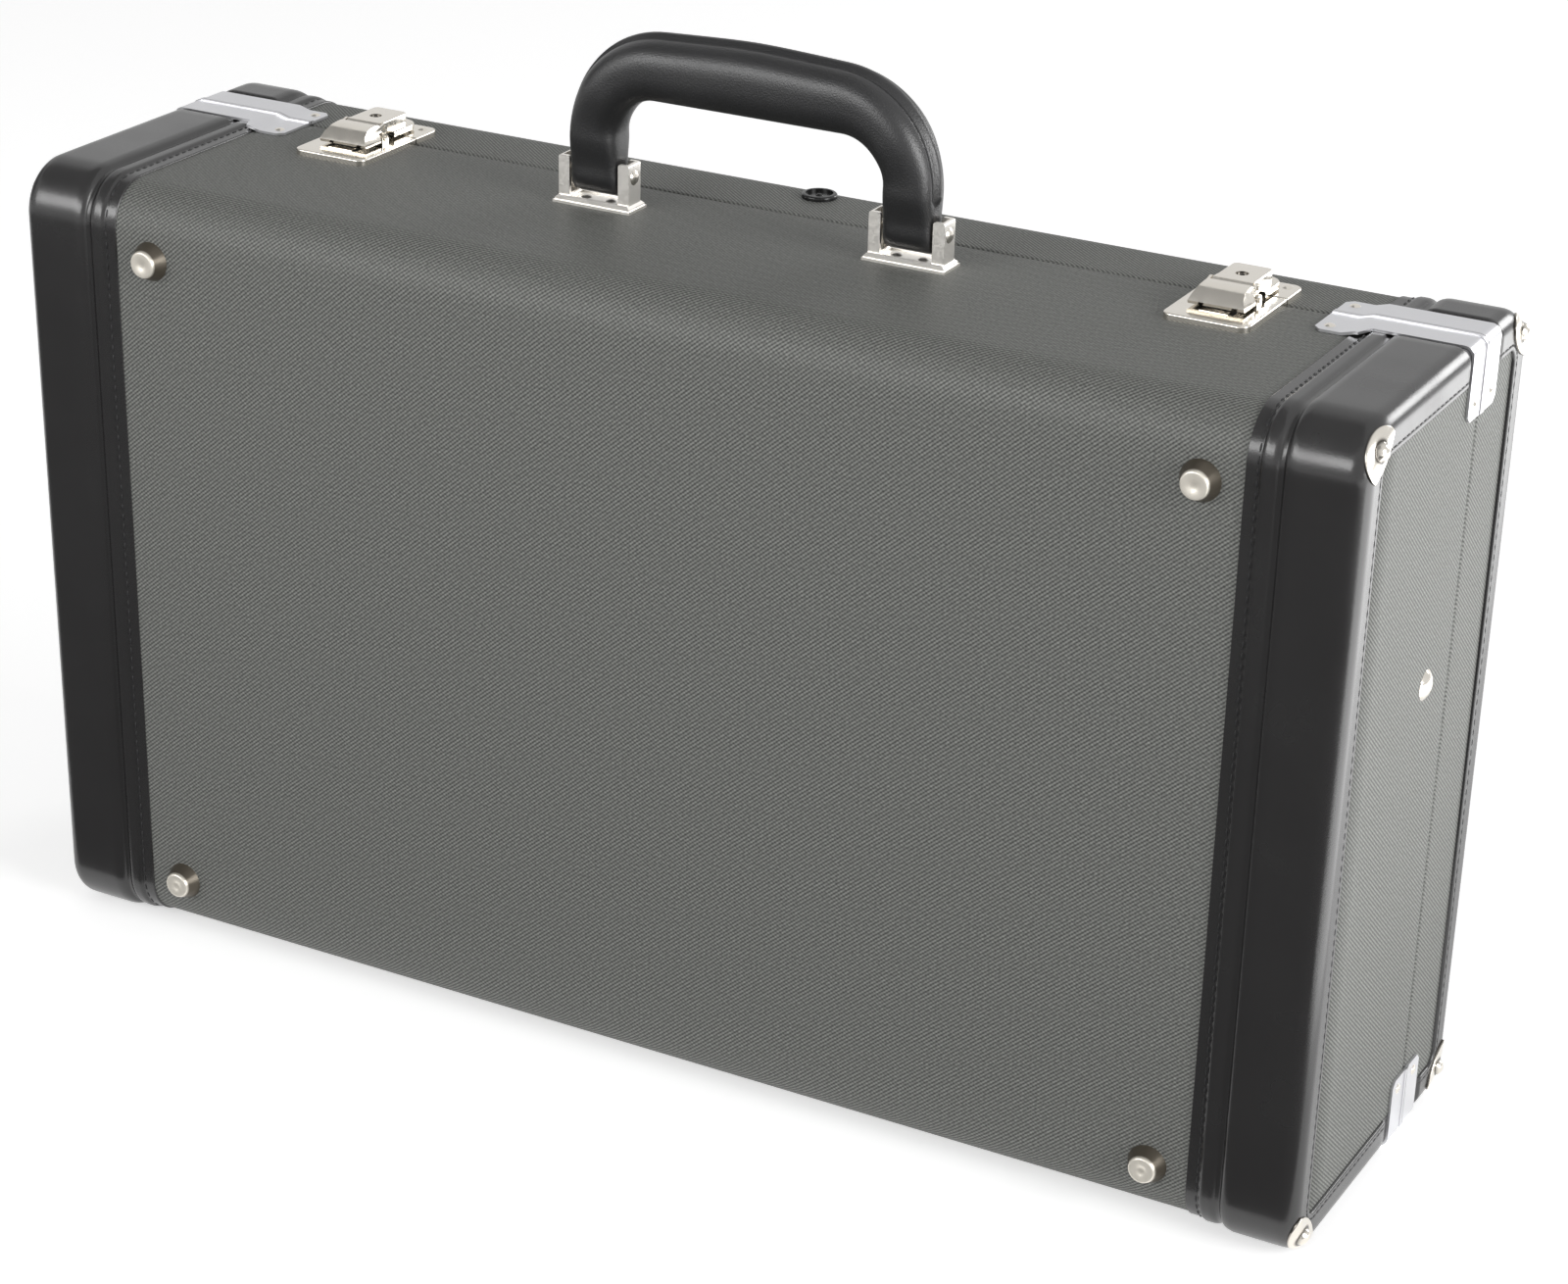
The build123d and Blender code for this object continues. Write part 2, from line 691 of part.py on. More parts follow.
def bracket(side, rivets):
    """A cast bracket: a bevelled foot and two channel-shaped ears that hold the pin."""
    x = side * BRACKET_X
    foot_plate = Pos(x, HANDLE_Y, TOP_Z + 0.5) * Box(BRACKET_W, BRACKET_D, 1.0)
    upper = Pos(x, HANDLE_Y, TOP_Z + BRACKET_T / 2 + 0.2) * Box(
        BRACKET_W - 1.2, BRACKET_D - 1.2, BRACKET_T - 0.4
    )
    upper = chamfer(upper.faces().sort_by(Axis.Z)[-1].edges(), 1.1)
    body = foot_plate + upper
    recess = block(
        x - EAR_IN + 0.6,
        x + EAR_IN - 0.6,
        HANDLE_Y - BRACKET_D / 2 + 2.2,
        HANDLE_Y + BRACKET_D / 2 - 2.2,
        TOP_Z + BRACKET_T - 0.6,
        TOP_Z + 9,
    )
    for sign in (-1, 1):
        x0, x1 = sorted((x + sign * EAR_IN, x + sign * EAR_OUT))
        post = block(
            x0, x1, HANDLE_Y - EAR_D / 2, HANDLE_Y + EAR_D / 2, TOP_Z + BRACKET_T - 0.2, TOP_Z + EAR_H
        )
        post = fillet(post.edges().filter_by(Axis.Y).group_by(Axis.Z)[-1], 1.0)
        slot_x = sorted((x + sign * (EAR_IN - 1), x + sign * (EAR_OUT - EAR_T)))
        slot = block(
            *slot_x,
            HANDLE_Y - EAR_D / 2 + EAR_T,
            HANDLE_Y + EAR_D / 2 - EAR_T,
            TOP_Z + BRACKET_T + 1.0,
            TOP_Z + EAR_H + 1,
        )
        body += post - slot
    bore = rod_x(HANDLE_Y, TOP_Z + PIN_H, HANDLE_PIN_R + PIN_FIT, x - BRACKET_W, x + BRACKET_W)
    return riveted(body - recess - bore, rivets)


def handle_pin(side):
    """The pin with its two round heads outside the ears."""
    x = side * BRACKET_X
    body = rod_x(HANDLE_Y, TOP_Z + PIN_H, HANDLE_PIN_R, x - EAR_OUT, x + EAR_OUT)
    for sign in (-1, 1):
        frame = Plane(origin=(x + sign * EAR_OUT, HANDLE_Y, TOP_Z + PIN_H), z_dir=(sign, 0, 0))
        body += dome(frame, 3.0, 1.2)
    return body


def grip_points(half_w, h_corner, h_apex, low):
    """Corners of the arch in (x, z): both legs' feet, both shoulders and the crown."""
    return [
        (-half_w, TOP_Z + low),
        (-half_w, TOP_Z + h_corner),
        (0, TOP_Z + h_apex),
        (half_w, TOP_Z + h_corner),
        (half_w, TOP_Z + low),
    ]


def grip_outer(low):
    """The outside of the arch: round shoulders and a slightly crowned top."""
    h_corner = GRIP_RISE - GRIP_CROWN
    points = grip_points(GRIP_OUT, h_corner, GRIP_RISE + GRIP_CROWN * 0.2, low)
    return FilletPolyline(*points, radius=[GRIP_CORNER_R, GRIP_CROWN_R, GRIP_CORNER_R])


def grip_face():
    """The arch seen from the front."""
    outer = grip_outer(-8)
    close = Line((GRIP_OUT, TOP_Z - 8), (-GRIP_OUT, TOP_Z - 8))
    whole = make_face([*outer.edges(), close])
    below = 48
    gap = RectangleRounded(2 * GRIP_IN, GRIP_GAP_H + below, GRIP_GAP_R)
    gap = Pos(0, TOP_Z + (GRIP_GAP_H - below) / 2) * gap
    return whole - gap


def handle_side():
    """The arch seen from the end: round lugs that flare up into the full depth."""
    half = GRIP_D / 2
    points = [
        (HANDLE_Y - LUG_D / 2, TOP_Z + PIN_H),
        (HANDLE_Y - LUG_D / 2, TOP_Z + LUG_TOP),
        (HANDLE_Y - LEG_D / 2, TOP_Z + LUG_TOP + 8),
        (HANDLE_Y - half, TOP_Z + GRIP_GAP_H),
        (HANDLE_Y - half, TOP_Z + GRIP_RISE + 9),
        (HANDLE_Y + half, TOP_Z + GRIP_RISE + 9),
        (HANDLE_Y + half, TOP_Z + GRIP_GAP_H),
        (HANDLE_Y + LEG_D / 2, TOP_Z + LUG_TOP + 8),
        (HANDLE_Y + LUG_D / 2, TOP_Z + LUG_TOP),
        (HANDLE_Y + LUG_D / 2, TOP_Z + PIN_H),
    ]
    return make_face(Polyline(*points, close=True)) + Pos(HANDLE_Y, TOP_Z + PIN_H) * Circle(LUG_D / 2)


def grip_rib():
    """The raised piping along the outside of the arch."""
    path = Plane.XZ.offset(-HANDLE_Y) * grip_outer(LUG_TOP + 4)
    start = Plane(origin=path @ 0, z_dir=path % 0)
    return sweep(start * Circle(RIB_R), path=path)


def handle_grip():
    """The moulded grip with its rib, bored for the bushes."""
    arch = along_y(grip_face(), HANDLE_Y - GRIP_D / 2, HANDLE_Y + GRIP_D / 2)
    faces = arch.faces().sort_by(Axis.Y)
    arch = fillet(faces[0].edges() + faces[-1].edges(), GRIP_ROUND)
    arch = arch & along_x(handle_side(), -FAR, FAR)
    bore = rod_x(HANDLE_Y, TOP_Z + PIN_H, BUSH_R + PIN_FIT, -FAR, FAR)
    return (arch + grip_rib()) - bore


def handle_bushes():
    """Steel bushes moulded into the lugs, which turn on the pins."""
    bushes = []
    for _, side in SIDES:
        x = side * BRACKET_X
        tube = rod_x(HANDLE_Y, TOP_Z + PIN_H, BUSH_R, x - LUG_W / 2, x + LUG_W / 2)
        bore = rod_x(HANDLE_Y, TOP_Z + PIN_H, HANDLE_PIN_R + PIN_FIT, x - LUG_W, x + LUG_W)
        bushes.append(tube - bore)
    return group(bushes)


# Draw latches. Lengths run from the seam, heights from the covering.


def pan(x, s0, s1, round_end):
    """A pressed plate with turned-down edges and two rounded corners."""
    y0, y1 = SEAM_Y + s0, SEAM_Y + s1
    body = block(x - PLATE_W / 2, x + PLATE_W / 2, y0, y1, TOP_Z, TOP_Z + PLATE_H)
    upright = body.edges().filter_by(Axis.Z).sort_by(Axis.Y)
    corners = upright[:2] if round_end < 0 else upright[2:]
    body = fillet(corners, PLATE_CORNER_R)
    body = fillet(body.faces().sort_by(Axis.Z)[-1].edges(), 0.7)
    hollow = block(
        x - PLATE_W / 2 + 1.3,
        x + PLATE_W / 2 - 1.3,
        y0 + (PLATE_CORNER_R if round_end < 0 else 1.3),
        y1 - (1.3 if round_end < 0 else PLATE_CORNER_R),
        TOP_Z,
        TOP_Z + PLATE_H - SHEET,
    )
    return body - hollow


def rivet_posts(spots):
    """The plate is pressed down round each rivet, so that it bears on the covering."""
    return [Pos(x, y, TOP_Z + PLATE_H / 2) * Cylinder(2.6, PLATE_H) for x, y, _ in spots]


def latch_plate(side, rivets):
    """The base plate: a window under the lever, a lanced tongue and two ears for its pin."""
    x = side * LATCH_X
    body = pan(x, -PLATE_L, -PLATE_SEAM_GAP, -1)
    window = block(x - 7.5, x + 7.5, SEAM_Y - 28.5, SEAM_Y - 16.5, TOP_Z, TOP_Z + PLATE_H + 1)
    body -= window
    tongue = block(x - 5.5, x + 5.5, SEAM_Y - 29, SEAM_Y - 25.6, TOP_Z + 1.5, TOP_Z + 2.7)
    body += tongue
    ear_in = ARM_IN + ARM_T + LATCH_EAR_GAP
    for sign in (-1, 1):
        x0, x1 = sorted((x + sign * ear_in, x + sign * (ear_in + LATCH_EAR_T)))
        ear = along_x(Pos(LEVER_Y, LEVER_Z) * Circle(2.1), x0, x1)
        ear += block(x0, x1, LEVER_Y - 2.1, LEVER_Y + 2.1, TOP_Z + PLATE_H - 0.5, LEVER_Z)
        body += ear
    for post in rivet_posts([p for p in latch_rivet_spots() if abs(p[0] - x) < PLATE_W]):
        body += post
    bore = rod_x(LEVER_Y, LEVER_Z, LATCH_PIN_R + PIN_FIT, x - PLATE_W, x + PLATE_W)
    return riveted(body - bore, rivets)


def latch_pins():
    reach = ARM_IN + ARM_T + LATCH_EAR_GAP + LATCH_EAR_T + 0.5
    return group(
        [
            rod_x(LEVER_Y, LEVER_Z, LATCH_PIN_R, s * LATCH_X - reach, s * LATCH_X + reach)
            for _, s in SIDES
        ]
    )


def lever(side):
    """The thumb lever: a hollow pressed nose with two arms that carry the claw."""
    x = side * LATCH_X
    outer = [
        (LEVER_FRONT + 0.6, 3.7),
        (LEVER_FRONT, 4.9),
        (LEVER_FRONT + 1.7, 7.6),
        (LEVER_FRONT + 5.4, 9.6),
        (LEVER_FRONT + 9.4, LEVER_TOP_H),
        (LEVER_REAR - 1.2, LEVER_TOP_H),
        (LEVER_REAR, LEVER_TOP_H - 1.0),
        (LEVER_REAR, 3.7),
    ]
    inner = [
        (LEVER_FRONT + 1.9, 3.0),
        (LEVER_FRONT + 1.4, 4.9),
        (LEVER_FRONT + 2.8, 6.9),
        (LEVER_FRONT + 5.9, 8.5),
        (LEVER_FRONT + 9.5, LEVER_TOP_H - 1.2),
        (LEVER_REAR + 1, LEVER_TOP_H - 1.2),
        (LEVER_REAR + 1, 3.0),
    ]
    body = latch_side(outer, x - LEVER_W / 2, x + LEVER_W / 2) & lever_taper(x, 0.0)
    body -= latch_side(inner, x - LEVER_W / 2, x + LEVER_W / 2) & lever_taper(x, 1.2)
    arm = [
        (LEVER_REAR - 4, 4.0),
        (LEVER_REAR - 4, 8.4),
        (CLAW_PIVOT[0] - 0.4, CLAW_PIVOT[1] + 1.7),
        (CLAW_PIVOT[0] + 1.7, CLAW_PIVOT[1] - 0.4),
        (LEVER_PIVOT[0] + 1.6, LEVER_PIVOT[1] - 0.8),
        (LEVER_PIVOT[0] - 0.2, LEVER_PIVOT[1] - 1.6),
    ]
    for sign in (-1, 1):
        x0, x1 = sorted((x + sign * ARM_IN, x + sign * (ARM_IN + ARM_T)))
        body += latch_side(arm, x0, x1)
        body += rod_x(LEVER_Y, LEVER_Z, 1.8, x0, x1) + rod_x(CLAW_Y, CLAW_Z, 1.8, x0, x1)
    for sign in (-1, 1):
        x0, x1 = sorted((x + sign * (ARM_IN + ARM_T), x + sign * LEVER_W))
        body -= block(x0, x1, LEVER_Y - 2.6, LEVER_Y + 5, TOP_Z, LEVER_Z + 2.6)
    lever_bore = rod_x(LEVER_Y, LEVER_Z, LATCH_PIN_R + PIN_FIT, x - LEVER_W, x + LEVER_W)
    claw_bore = rod_x(CLAW_Y, CLAW_Z, CLAW_PIN_R + PIN_FIT, x - LEVER_W, x + LEVER_W)
    return body - lever_bore - claw_bore


def latch_side(points, x0, x1):
    """A side outline in (length, height), drawn out across the latch."""
    places = [(SEAM_Y + s, TOP_Z + h) for s, h in points]
    return along_x(make_face(Polyline(*places, close=True)), x0, x1)


def lever_taper(x, inset):
    """The nose narrows towards its top."""
    wide = LEVER_W / 2 - inset
    narrow = LEVER_TOP_W / 2 - inset
    points = [
        (x - wide, TOP_Z + 2),
        (x + wide, TOP_Z + 2),
        (x + wide, TOP_Z + 5),
        (x + narrow, TOP_Z + LEVER_TOP_H + 0.1),
        (x - narrow, TOP_Z + LEVER_TOP_H + 0.1),
        (x - wide, TOP_Z + 5),
    ]
    return along_y(make_face(Polyline(*points, close=True)), SEAM_Y - PLATE_L, SEAM_Y)


def claw_outline(x, inset):
    """The claw's flange seen from above, round at its far end."""
    wide = FLANGE_W / 2 - inset
    y0, y1 = SEAM_Y + FLANGE_START, SEAM_Y + FLANGE_END - inset
    points = [(x - wide, y0), (x + wide, y0), (x + wide, y1), (x - wide, y1)]
    face = make_face(Polyline(*points, close=True))
    far = face.vertices().sort_by(Axis.Y)[2:]
    return fillet(far, FLANGE_R - inset)


def claw(side):
    """The claw: a raised key plate on a flange whose lip comes down behind the catch."""
    x = side * LATCH_X
    top = TOP_Z + LEVER_TOP_H
    end_y = SEAM_Y + CLAW_TOP_END
    flange_top = TOP_Z + FLANGE_H + 1.2
    plateau = block(x - CLAW_W / 2, x + CLAW_W / 2, CLAW_Y, end_y, flange_top - 0.6, top)
    plateau = fillet(plateau.edges().filter_by(Axis.Z).sort_by(Axis.Y)[2:], 2.5)
    edges = plateau.faces().sort_by(Axis.Z)[-1].edges()
    plateau = fillet([e for e in edges if e.center().Y > CLAW_Y + 1], 0.8)
    plateau = plateau - block(
        x - CLAW_W / 2 - 1, x + CLAW_W / 2 + 1, CLAW_Y - 1, CLAW_Y + 2.3, 0, CLAW_Z
    )
    flange = along_z(claw_outline(x, 0.0), TOP_Z + CLAW_LIP_H, flange_top)
    flange = fillet(flange.faces().sort_by(Axis.Z)[-1].edges().sort_by(Axis.Y)[1:], 0.8)
    flange -= along_z(claw_outline(x, 1.2), 0, TOP_Z + FLANGE_H)
    hollow = block(
        x - CLAW_W / 2 + 1.2, x + CLAW_W / 2 - 1.2, SEAM_Y - 20, end_y - 1.2, 0, top - 1.2
    )
    barrel = rod_x(CLAW_Y, CLAW_Z, BARREL_R, x - CLAW_W / 2, x + CLAW_W / 2)
    bore = rod_x(CLAW_Y, CLAW_Z, CLAW_PIN_R + PIN_FIT, x - LEVER_W, x + LEVER_W)
    plug_hole = Pos(x, SEAM_Y + PLUG_S, top) * Cylinder(PLUG_R + PLUG_FIT, 9)
    body = (plateau + flange - hollow) + barrel
    return body - bore - plug_hole


def claw_pin(side):
    x = side * LATCH_X
    reach = ARM_IN + ARM_T + 0.3
    return rod_x(CLAW_Y, CLAW_Z, CLAW_PIN_R, x - reach, x + reach)


def lock_plug(side):
    """The turning plug: key slot on top, a collar and a cam below the key plate."""
    x, y = side * LATCH_X, SEAM_Y + PLUG_S
    top = TOP_Z + LEVER_TOP_H
    body = Pos(x, y, top - 2.1) * Cylinder(PLUG_R, 2.6)
    body += Pos(x, y, top - 2.1) * Cylinder(PLUG_R + 0.9, 1.2)
    body += block(x - 1.2, x + 1.2, y, y + 5.6, top - 3.9, top - 2.6)
    slot = Pos(x, y, top - 0.8) * Box(0.9, 3.4, 2.4) + Pos(x, y, top - 0.8) * Cylinder(1.0, 2.4)
    return body - slot


def strike(side, rivets):
    """The strike plate on the lid, with the catch that the claw comes down behind."""
    x = side * LATCH_X
    body = pan(x, PLATE_SEAM_GAP, STRIKE_L, 1)
    catch_h = CLAW_LIP_H - CATCH_CLEAR
    y = SEAM_Y + CATCH_S
    ends = (x - CATCH_L / 2, x + CATCH_L / 2)
    body += block(*ends, y, y + CATCH_W, TOP_Z + PLATE_H - 0.5, TOP_Z + catch_h)
    for post in rivet_posts([p for p in strike_rivet_spots() if abs(p[0] - x) < PLATE_W]):
        body += post
    return riveted(body, rivets)


# Inside


def base_cavity(fit, x_room):
    """The room inside the base half, less a fit all round."""
    hull = prism(-WALL - fit, -INNER_X + x_room, INNER_X - x_room)
    return hull


def recess_outline():
    """The instrument's recess: a bell, a body with its valves, and the mouthpipe's channel."""
    z = AXIS_Z
    half_bell = BELL_W / 2
    left, right = RECESS_LEFT, RECESS_LEFT + RECESS_L
    throat = left + BODY_FROM_BELL
    top = z + PIPE_W / 2 + 1
    low = z - PIPE_W / 2 - 1
    bell_top = ThreePointArc((left, z + half_bell), (left + 38, z + 34), (throat, top))
    bell_low = ThreePointArc((throat, low), (left + 38, z - 34), (left, z - half_bell))
    mouth = Line((left, z - half_bell), (left, z + half_bell))
    bell = make_face([bell_top, Line((throat, top), (throat, low)), bell_low, mouth])
    pipe_x0 = throat - 12
    pipe = Pos((pipe_x0 + right) / 2, z) * RectangleRounded(right - pipe_x0, PIPE_W, 14)
    body_x = throat + BODY_L / 2
    body = Pos(body_x, z + PIPE_W / 2 - BODY_W / 2) * RectangleRounded(BODY_L, BODY_W, 28)
    valves_x = left + VALVES_FROM_BELL + VALVES_L / 2
    valves = Pos(valves_x, z - VALVES_BELOW) * RectangleRounded(VALVES_L, VALVES_W, 14)
    return bell + pipe + body + valves


def tray_outline(grow):
    """The accessory compartment above the mouthpipe, grown by grow."""
    x0 = RECESS_LEFT + BODY_FROM_BELL + BODY_L
    x1 = INNER_X - TRAY_RIM
    z0 = AXIS_Z + PIPE_W / 2 + 16
    z1 = TOP_Z - WALL - TRAY_RIM + 4
    size = (x1 - x0 + 2 * grow, z1 - z0 + 2 * grow)
    return Pos((x0 + x1) / 2, (z0 + z1) / 2) * RectangleRounded(*size, TRAY_R)


def open_tray_outline():
    """The open tray below the mouthpipe."""
    x1 = INNER_X - TRAY_RIM
    z0 = BOTTOM_Z + WALL + TRAY_RIM - 4
    z1 = AXIS_Z - PIPE_W / 2 - 16
    size = (OPEN_TRAY_L, z1 - z0)
    return Pos(x1 - OPEN_TRAY_L / 2, (z0 + z1) / 2) * RectangleRounded(*size, OPEN_TRAY_R)


def foam_block():
    """The padded block in the base, with its recess, two compartments and mouthpiece holes."""
    top_y = SEAM_Y - BLOCK_BELOW_SEAM
    whole = base_cavity(SOFT_FIT, STAY_ROOM) & block(-FAR, FAR, -FAR, top_y, -FAR, FAR)
    floor_y = FRONT_Y + WALL + RECESS_FLOOR
    tray_y = floor_y - RECESS_FLOOR + TRAY_FLOOR
    whole -= along_y(recess_outline(), floor_y, FAR)
    whole -= along_y(tray_outline(0.0), tray_y, FAR)
    whole -= along_y(tray_outline(CUP_LEDGE), top_y - COVER_BOARD_T - 0.3, FAR)
    whole -= along_y(open_tray_outline(), tray_y, FAR)
    for n in (0, 1):
        x = RECESS_LEFT + MOUTHPIECE_PITCH * (n + 0.6)
        frame = Plane(origin=(x, top_y, BOTTOM_Z + MOUTHPIECE_UP), z_dir=(0, -1, 0))
        hole = Cone(MOUTHPIECE_R, MOUTHPIECE_TIP_R, MOUTHPIECE_L)
        whole -= frame * Pos(0, 0, MOUTHPIECE_L / 2) * hole
    return whole


def accessory_cover():
    """The drop-in cover of the accessory compartment, with a finger hole."""
    top_y = SEAM_Y - BLOCK_BELOW_SEAM
    board = along_y(tray_outline(CUP_LEDGE - COVER_FIT), top_y - COVER_BOARD_T, top_y)
    left = board.bounding_box().min.X
    middle = board.bounding_box().center().Z
    return board - along_y(Pos(left + 2.5 * FINGER_HOLE_R, middle) * Circle(FINGER_HOLE_R), -FAR, FAR)


def lid_pad():
    """The pad glued inside the lid."""
    room = prism(-WALL - SOFT_FIT, -INNER_X + SOFT_FIT, INNER_X - SOFT_FIT)
    inner_y = BACK_Y - WALL - SOFT_FIT - LID_PAD_T
    return room & block(-FAR, FAR, inner_y, FAR, -FAR, FAR)


def tongue_strips():
    """The alignment strip round three sides of the base's mouth, which enters the lid."""
    reach_x = INNER_X - TONGUE_FIT
    top = TOP_Z - WALL - TONGUE_FIT
    y0, y1 = SEAM_Y - TONGUE_IN, SEAM_Y + TONGUE_OUT
    outer = block(-reach_x, reach_x, y0, y1, BOTTOM_Z + TONGUE_END, top)
    inner_x = reach_x - TONGUE_T
    return outer - block(-inner_x, inner_x, y0 - 1, y1 + 1, 0, top - TONGUE_T)


def stay_rivets():
    """The dome-headed rivets through the end walls, each with a washer inside."""
    pieces = []
    for _, side in SIDES:
        x = side * (BOARD_X + END_COVER_T)
        y, z = SEAM_Y - STAY_RIVET_FROM_SEAM, BOTTOM_Z + STAY_RIVET_UP
        frame = Plane(origin=(x, y, z), z_dir=(side, 0, 0))
        length = BOARD_T + END_COVER_T
        shank = frame * Pos(0, 0, -length / 2) * Cylinder(2.0, length)
        tail = frame * Pos(0, 0, -length - 0.6) * Cylinder(4.0, 1.2)
        pieces.append(dome(frame, STAY_RIVET_R, STAY_RIVET_H) + shank + tail)
    return group(pieces)


def stay_rivet_holes(part):
    y, z = SEAM_Y - STAY_RIVET_FROM_SEAM, BOTTOM_Z + STAY_RIVET_UP
    return part - rod_x(y, z, 2.0 + SHANK_FIT, -FAR, FAR)


def lid_stud_frame():
    return Plane(origin=(0, SEAM_Y + LID_STUD_FROM_SEAM, TOP_Z), z_dir=(0, 0, 1))


def lid_stud():
    """The black button in the middle of the lid's top wall: a shallow cup round a small rivet."""
    frame = lid_stud_frame()
    shank = frame * Pos(0, 0, -WALL / 2) * Cylinder(2.0, WALL)
    tail = frame * Pos(0, 0, -WALL - 0.3) * Cylinder(2.8, 0.6)
    head = frame * Pos(0, 0, LID_STUD_H / 2) * Cylinder(LID_STUD_R, LID_STUD_H)
    head = fillet(head.edges().sort_by(Axis.Z)[-1], 0.9)
    cup = frame * Pos(0, 0, LID_STUD_H) * Cylinder(LID_STUD_CUP_R, 2 * (LID_STUD_H - 0.6))
    knob = dome(frame, 1.6, 1.5)
    return (head - cup) + knob + shank + tail


def lid_stud_hole(part):
    return part - lid_stud_frame() * Pos(0, 0, -WALL / 2) * Cylinder(2.0 + SHANK_FIT, WALL + 0.2)


# Assembly: every node by its name


def base_parts():
    top, bottom, panel = wall_boards(base_half, BASE_RIVETS, BASE_NAILS)
    parts = {
        "base_front_panel": foot_holes(panel),
        "base_top_wall": top,
        "base_bottom_wall": bottom,
        "base_cover": foot_holes(cover(base_half, BASE_RIVETS, BASE_NAILS)),
        "base_end_covers": stay_rivet_holes(end_covers(base_half, BASE_NAILS)),
        "base_tongue": tongue_strips(),
        "foam_block": foam_block(),
        "accessory_cover": accessory_cover(),
        "base_clamps": group([c - hinge_cut() for c in drilled_clamps(1, BASE_NAILS)]),
        "base_corner_caps": group(at_four_corners(cap(FRONT_Y, 1))),
        "base_nails": group([nail(*n) for n in BASE_NAILS]),
        "base_rivets": group([rivet(*r) for r in BASE_RIVETS]),
        "feet": group([foot(*place) for place in foot_places()]),
        "hinge_leaves_base": hinge_leaves(1, BASE_RIVETS),
        "hinge_pins": hinge_pins(),
        "handle_pins": group([handle_pin(s) for _, s in SIDES]),
        "latch_pins": latch_pins(),
        "stay_rivets": stay_rivets(),
    }
    for name, side in SIDES:
        wall = end_wall(base_half, side, BASE_NAILS)
        parts["base_" + name + "_wall"] = stay_rivet_holes(wall)
        parts["base_" + name + "_band"] = band(base_half, side, BASE_NAILS)
        parts["handle_bracket_" + name] = bracket(side, BASE_RIVETS)
        parts["latch_plate_" + name] = latch_plate(side, BASE_RIVETS)
    return parts


def drilled_clamps(side, nails):
    right = drilled(clamp(side), [n for n in nails if n[0][0] > 0 and near_top(n[0][2])])
    return at_four_corners(right)


def lid_parts():
    top, bottom, panel = wall_boards(lid_half, LID_RIVETS, LID_NAILS)
    parts = {
        "lid_back_panel": panel,
        "lid_top_wall": lid_stud_hole(top),
        "lid_bottom_wall": bottom,
        "lid_cover": lid_stud_hole(cover(lid_half, LID_RIVETS, LID_NAILS)),
        "lid_end_covers": end_covers(lid_half, LID_NAILS),
        "lid_pad": lid_pad(),
        "lid_clamps": group([c - hinge_cut() for c in drilled_clamps(-1, LID_NAILS)]),
        "lid_corner_caps": group(at_four_corners(cap(BACK_Y, -1))),
        "lid_nails": group([nail(*n) for n in LID_NAILS]),
        "lid_rivets": group([rivet(*r) for r in LID_RIVETS]),
        "hinge_leaves_lid": hinge_leaves(-1, LID_RIVETS),
        "lid_stud": lid_stud(),
    }
    for name, side in SIDES:
        parts["lid_" + name + "_wall"] = end_wall(lid_half, side, LID_NAILS)
        parts["lid_" + name + "_band"] = band(lid_half, side, LID_NAILS)
        parts["strike_" + name] = strike(side, LID_RIVETS)
    return parts


def moving_parts():
    parts = {"handle_grip": handle_grip(), "handle_bushes": handle_bushes()}
    for name, side in SIDES:
        parts["latch_lever_" + name] = lever(side)
        parts["claw_pin_" + name] = claw_pin(side)
        parts["latch_claw_" + name] = claw(side)
        parts["lock_plug_" + name] = lock_plug(side)
    return parts


os.makedirs("parts", exist_ok=True)
for maker in (base_parts, lid_parts, moving_parts):
    for node, shape in maker().items():
        export_step(shape, "parts/" + node + ".step")
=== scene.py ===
import json
import math

import bmesh
import bpy
import numpy as np
from mathutils import Matrix, Vector

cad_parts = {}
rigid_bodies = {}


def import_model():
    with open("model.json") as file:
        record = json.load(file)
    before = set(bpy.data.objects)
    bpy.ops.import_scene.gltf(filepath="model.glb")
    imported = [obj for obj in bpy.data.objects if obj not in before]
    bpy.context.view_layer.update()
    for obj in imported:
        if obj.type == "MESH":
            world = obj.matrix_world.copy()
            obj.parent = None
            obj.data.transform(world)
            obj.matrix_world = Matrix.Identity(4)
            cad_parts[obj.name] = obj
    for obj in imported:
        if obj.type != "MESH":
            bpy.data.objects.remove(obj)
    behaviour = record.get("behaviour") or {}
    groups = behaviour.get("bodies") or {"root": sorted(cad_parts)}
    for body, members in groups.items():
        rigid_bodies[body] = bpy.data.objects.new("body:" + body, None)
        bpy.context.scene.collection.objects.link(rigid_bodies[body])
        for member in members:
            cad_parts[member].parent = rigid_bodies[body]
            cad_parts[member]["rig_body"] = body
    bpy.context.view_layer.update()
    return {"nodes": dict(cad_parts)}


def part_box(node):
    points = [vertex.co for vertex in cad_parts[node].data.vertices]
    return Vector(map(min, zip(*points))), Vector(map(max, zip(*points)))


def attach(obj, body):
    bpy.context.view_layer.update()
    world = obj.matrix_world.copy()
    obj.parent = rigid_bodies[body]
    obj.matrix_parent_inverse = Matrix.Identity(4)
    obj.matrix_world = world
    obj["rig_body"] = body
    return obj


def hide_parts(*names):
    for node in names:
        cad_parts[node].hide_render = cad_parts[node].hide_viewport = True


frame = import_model()

# The camera stands at the right of the case and looks down on it, as the photograph does.
# Its place, turn and focal length come from the case's known edges in the picture.
CAMERA_AT = (0.6523, -1.1833, 0.7500)
CAMERA_TURN = (28.33, -26.69, -1.32)
FOCAL_PIXELS = 3800.7
PICTURE = (1600, 1310)
PICTURE_CENTRE = (780.1, 854.2)


def add_object(name, data):
    """An object for the data, linked into the scene."""
    made = bpy.data.objects.new(name, data)
    bpy.context.scene.collection.objects.link(made)
    return made


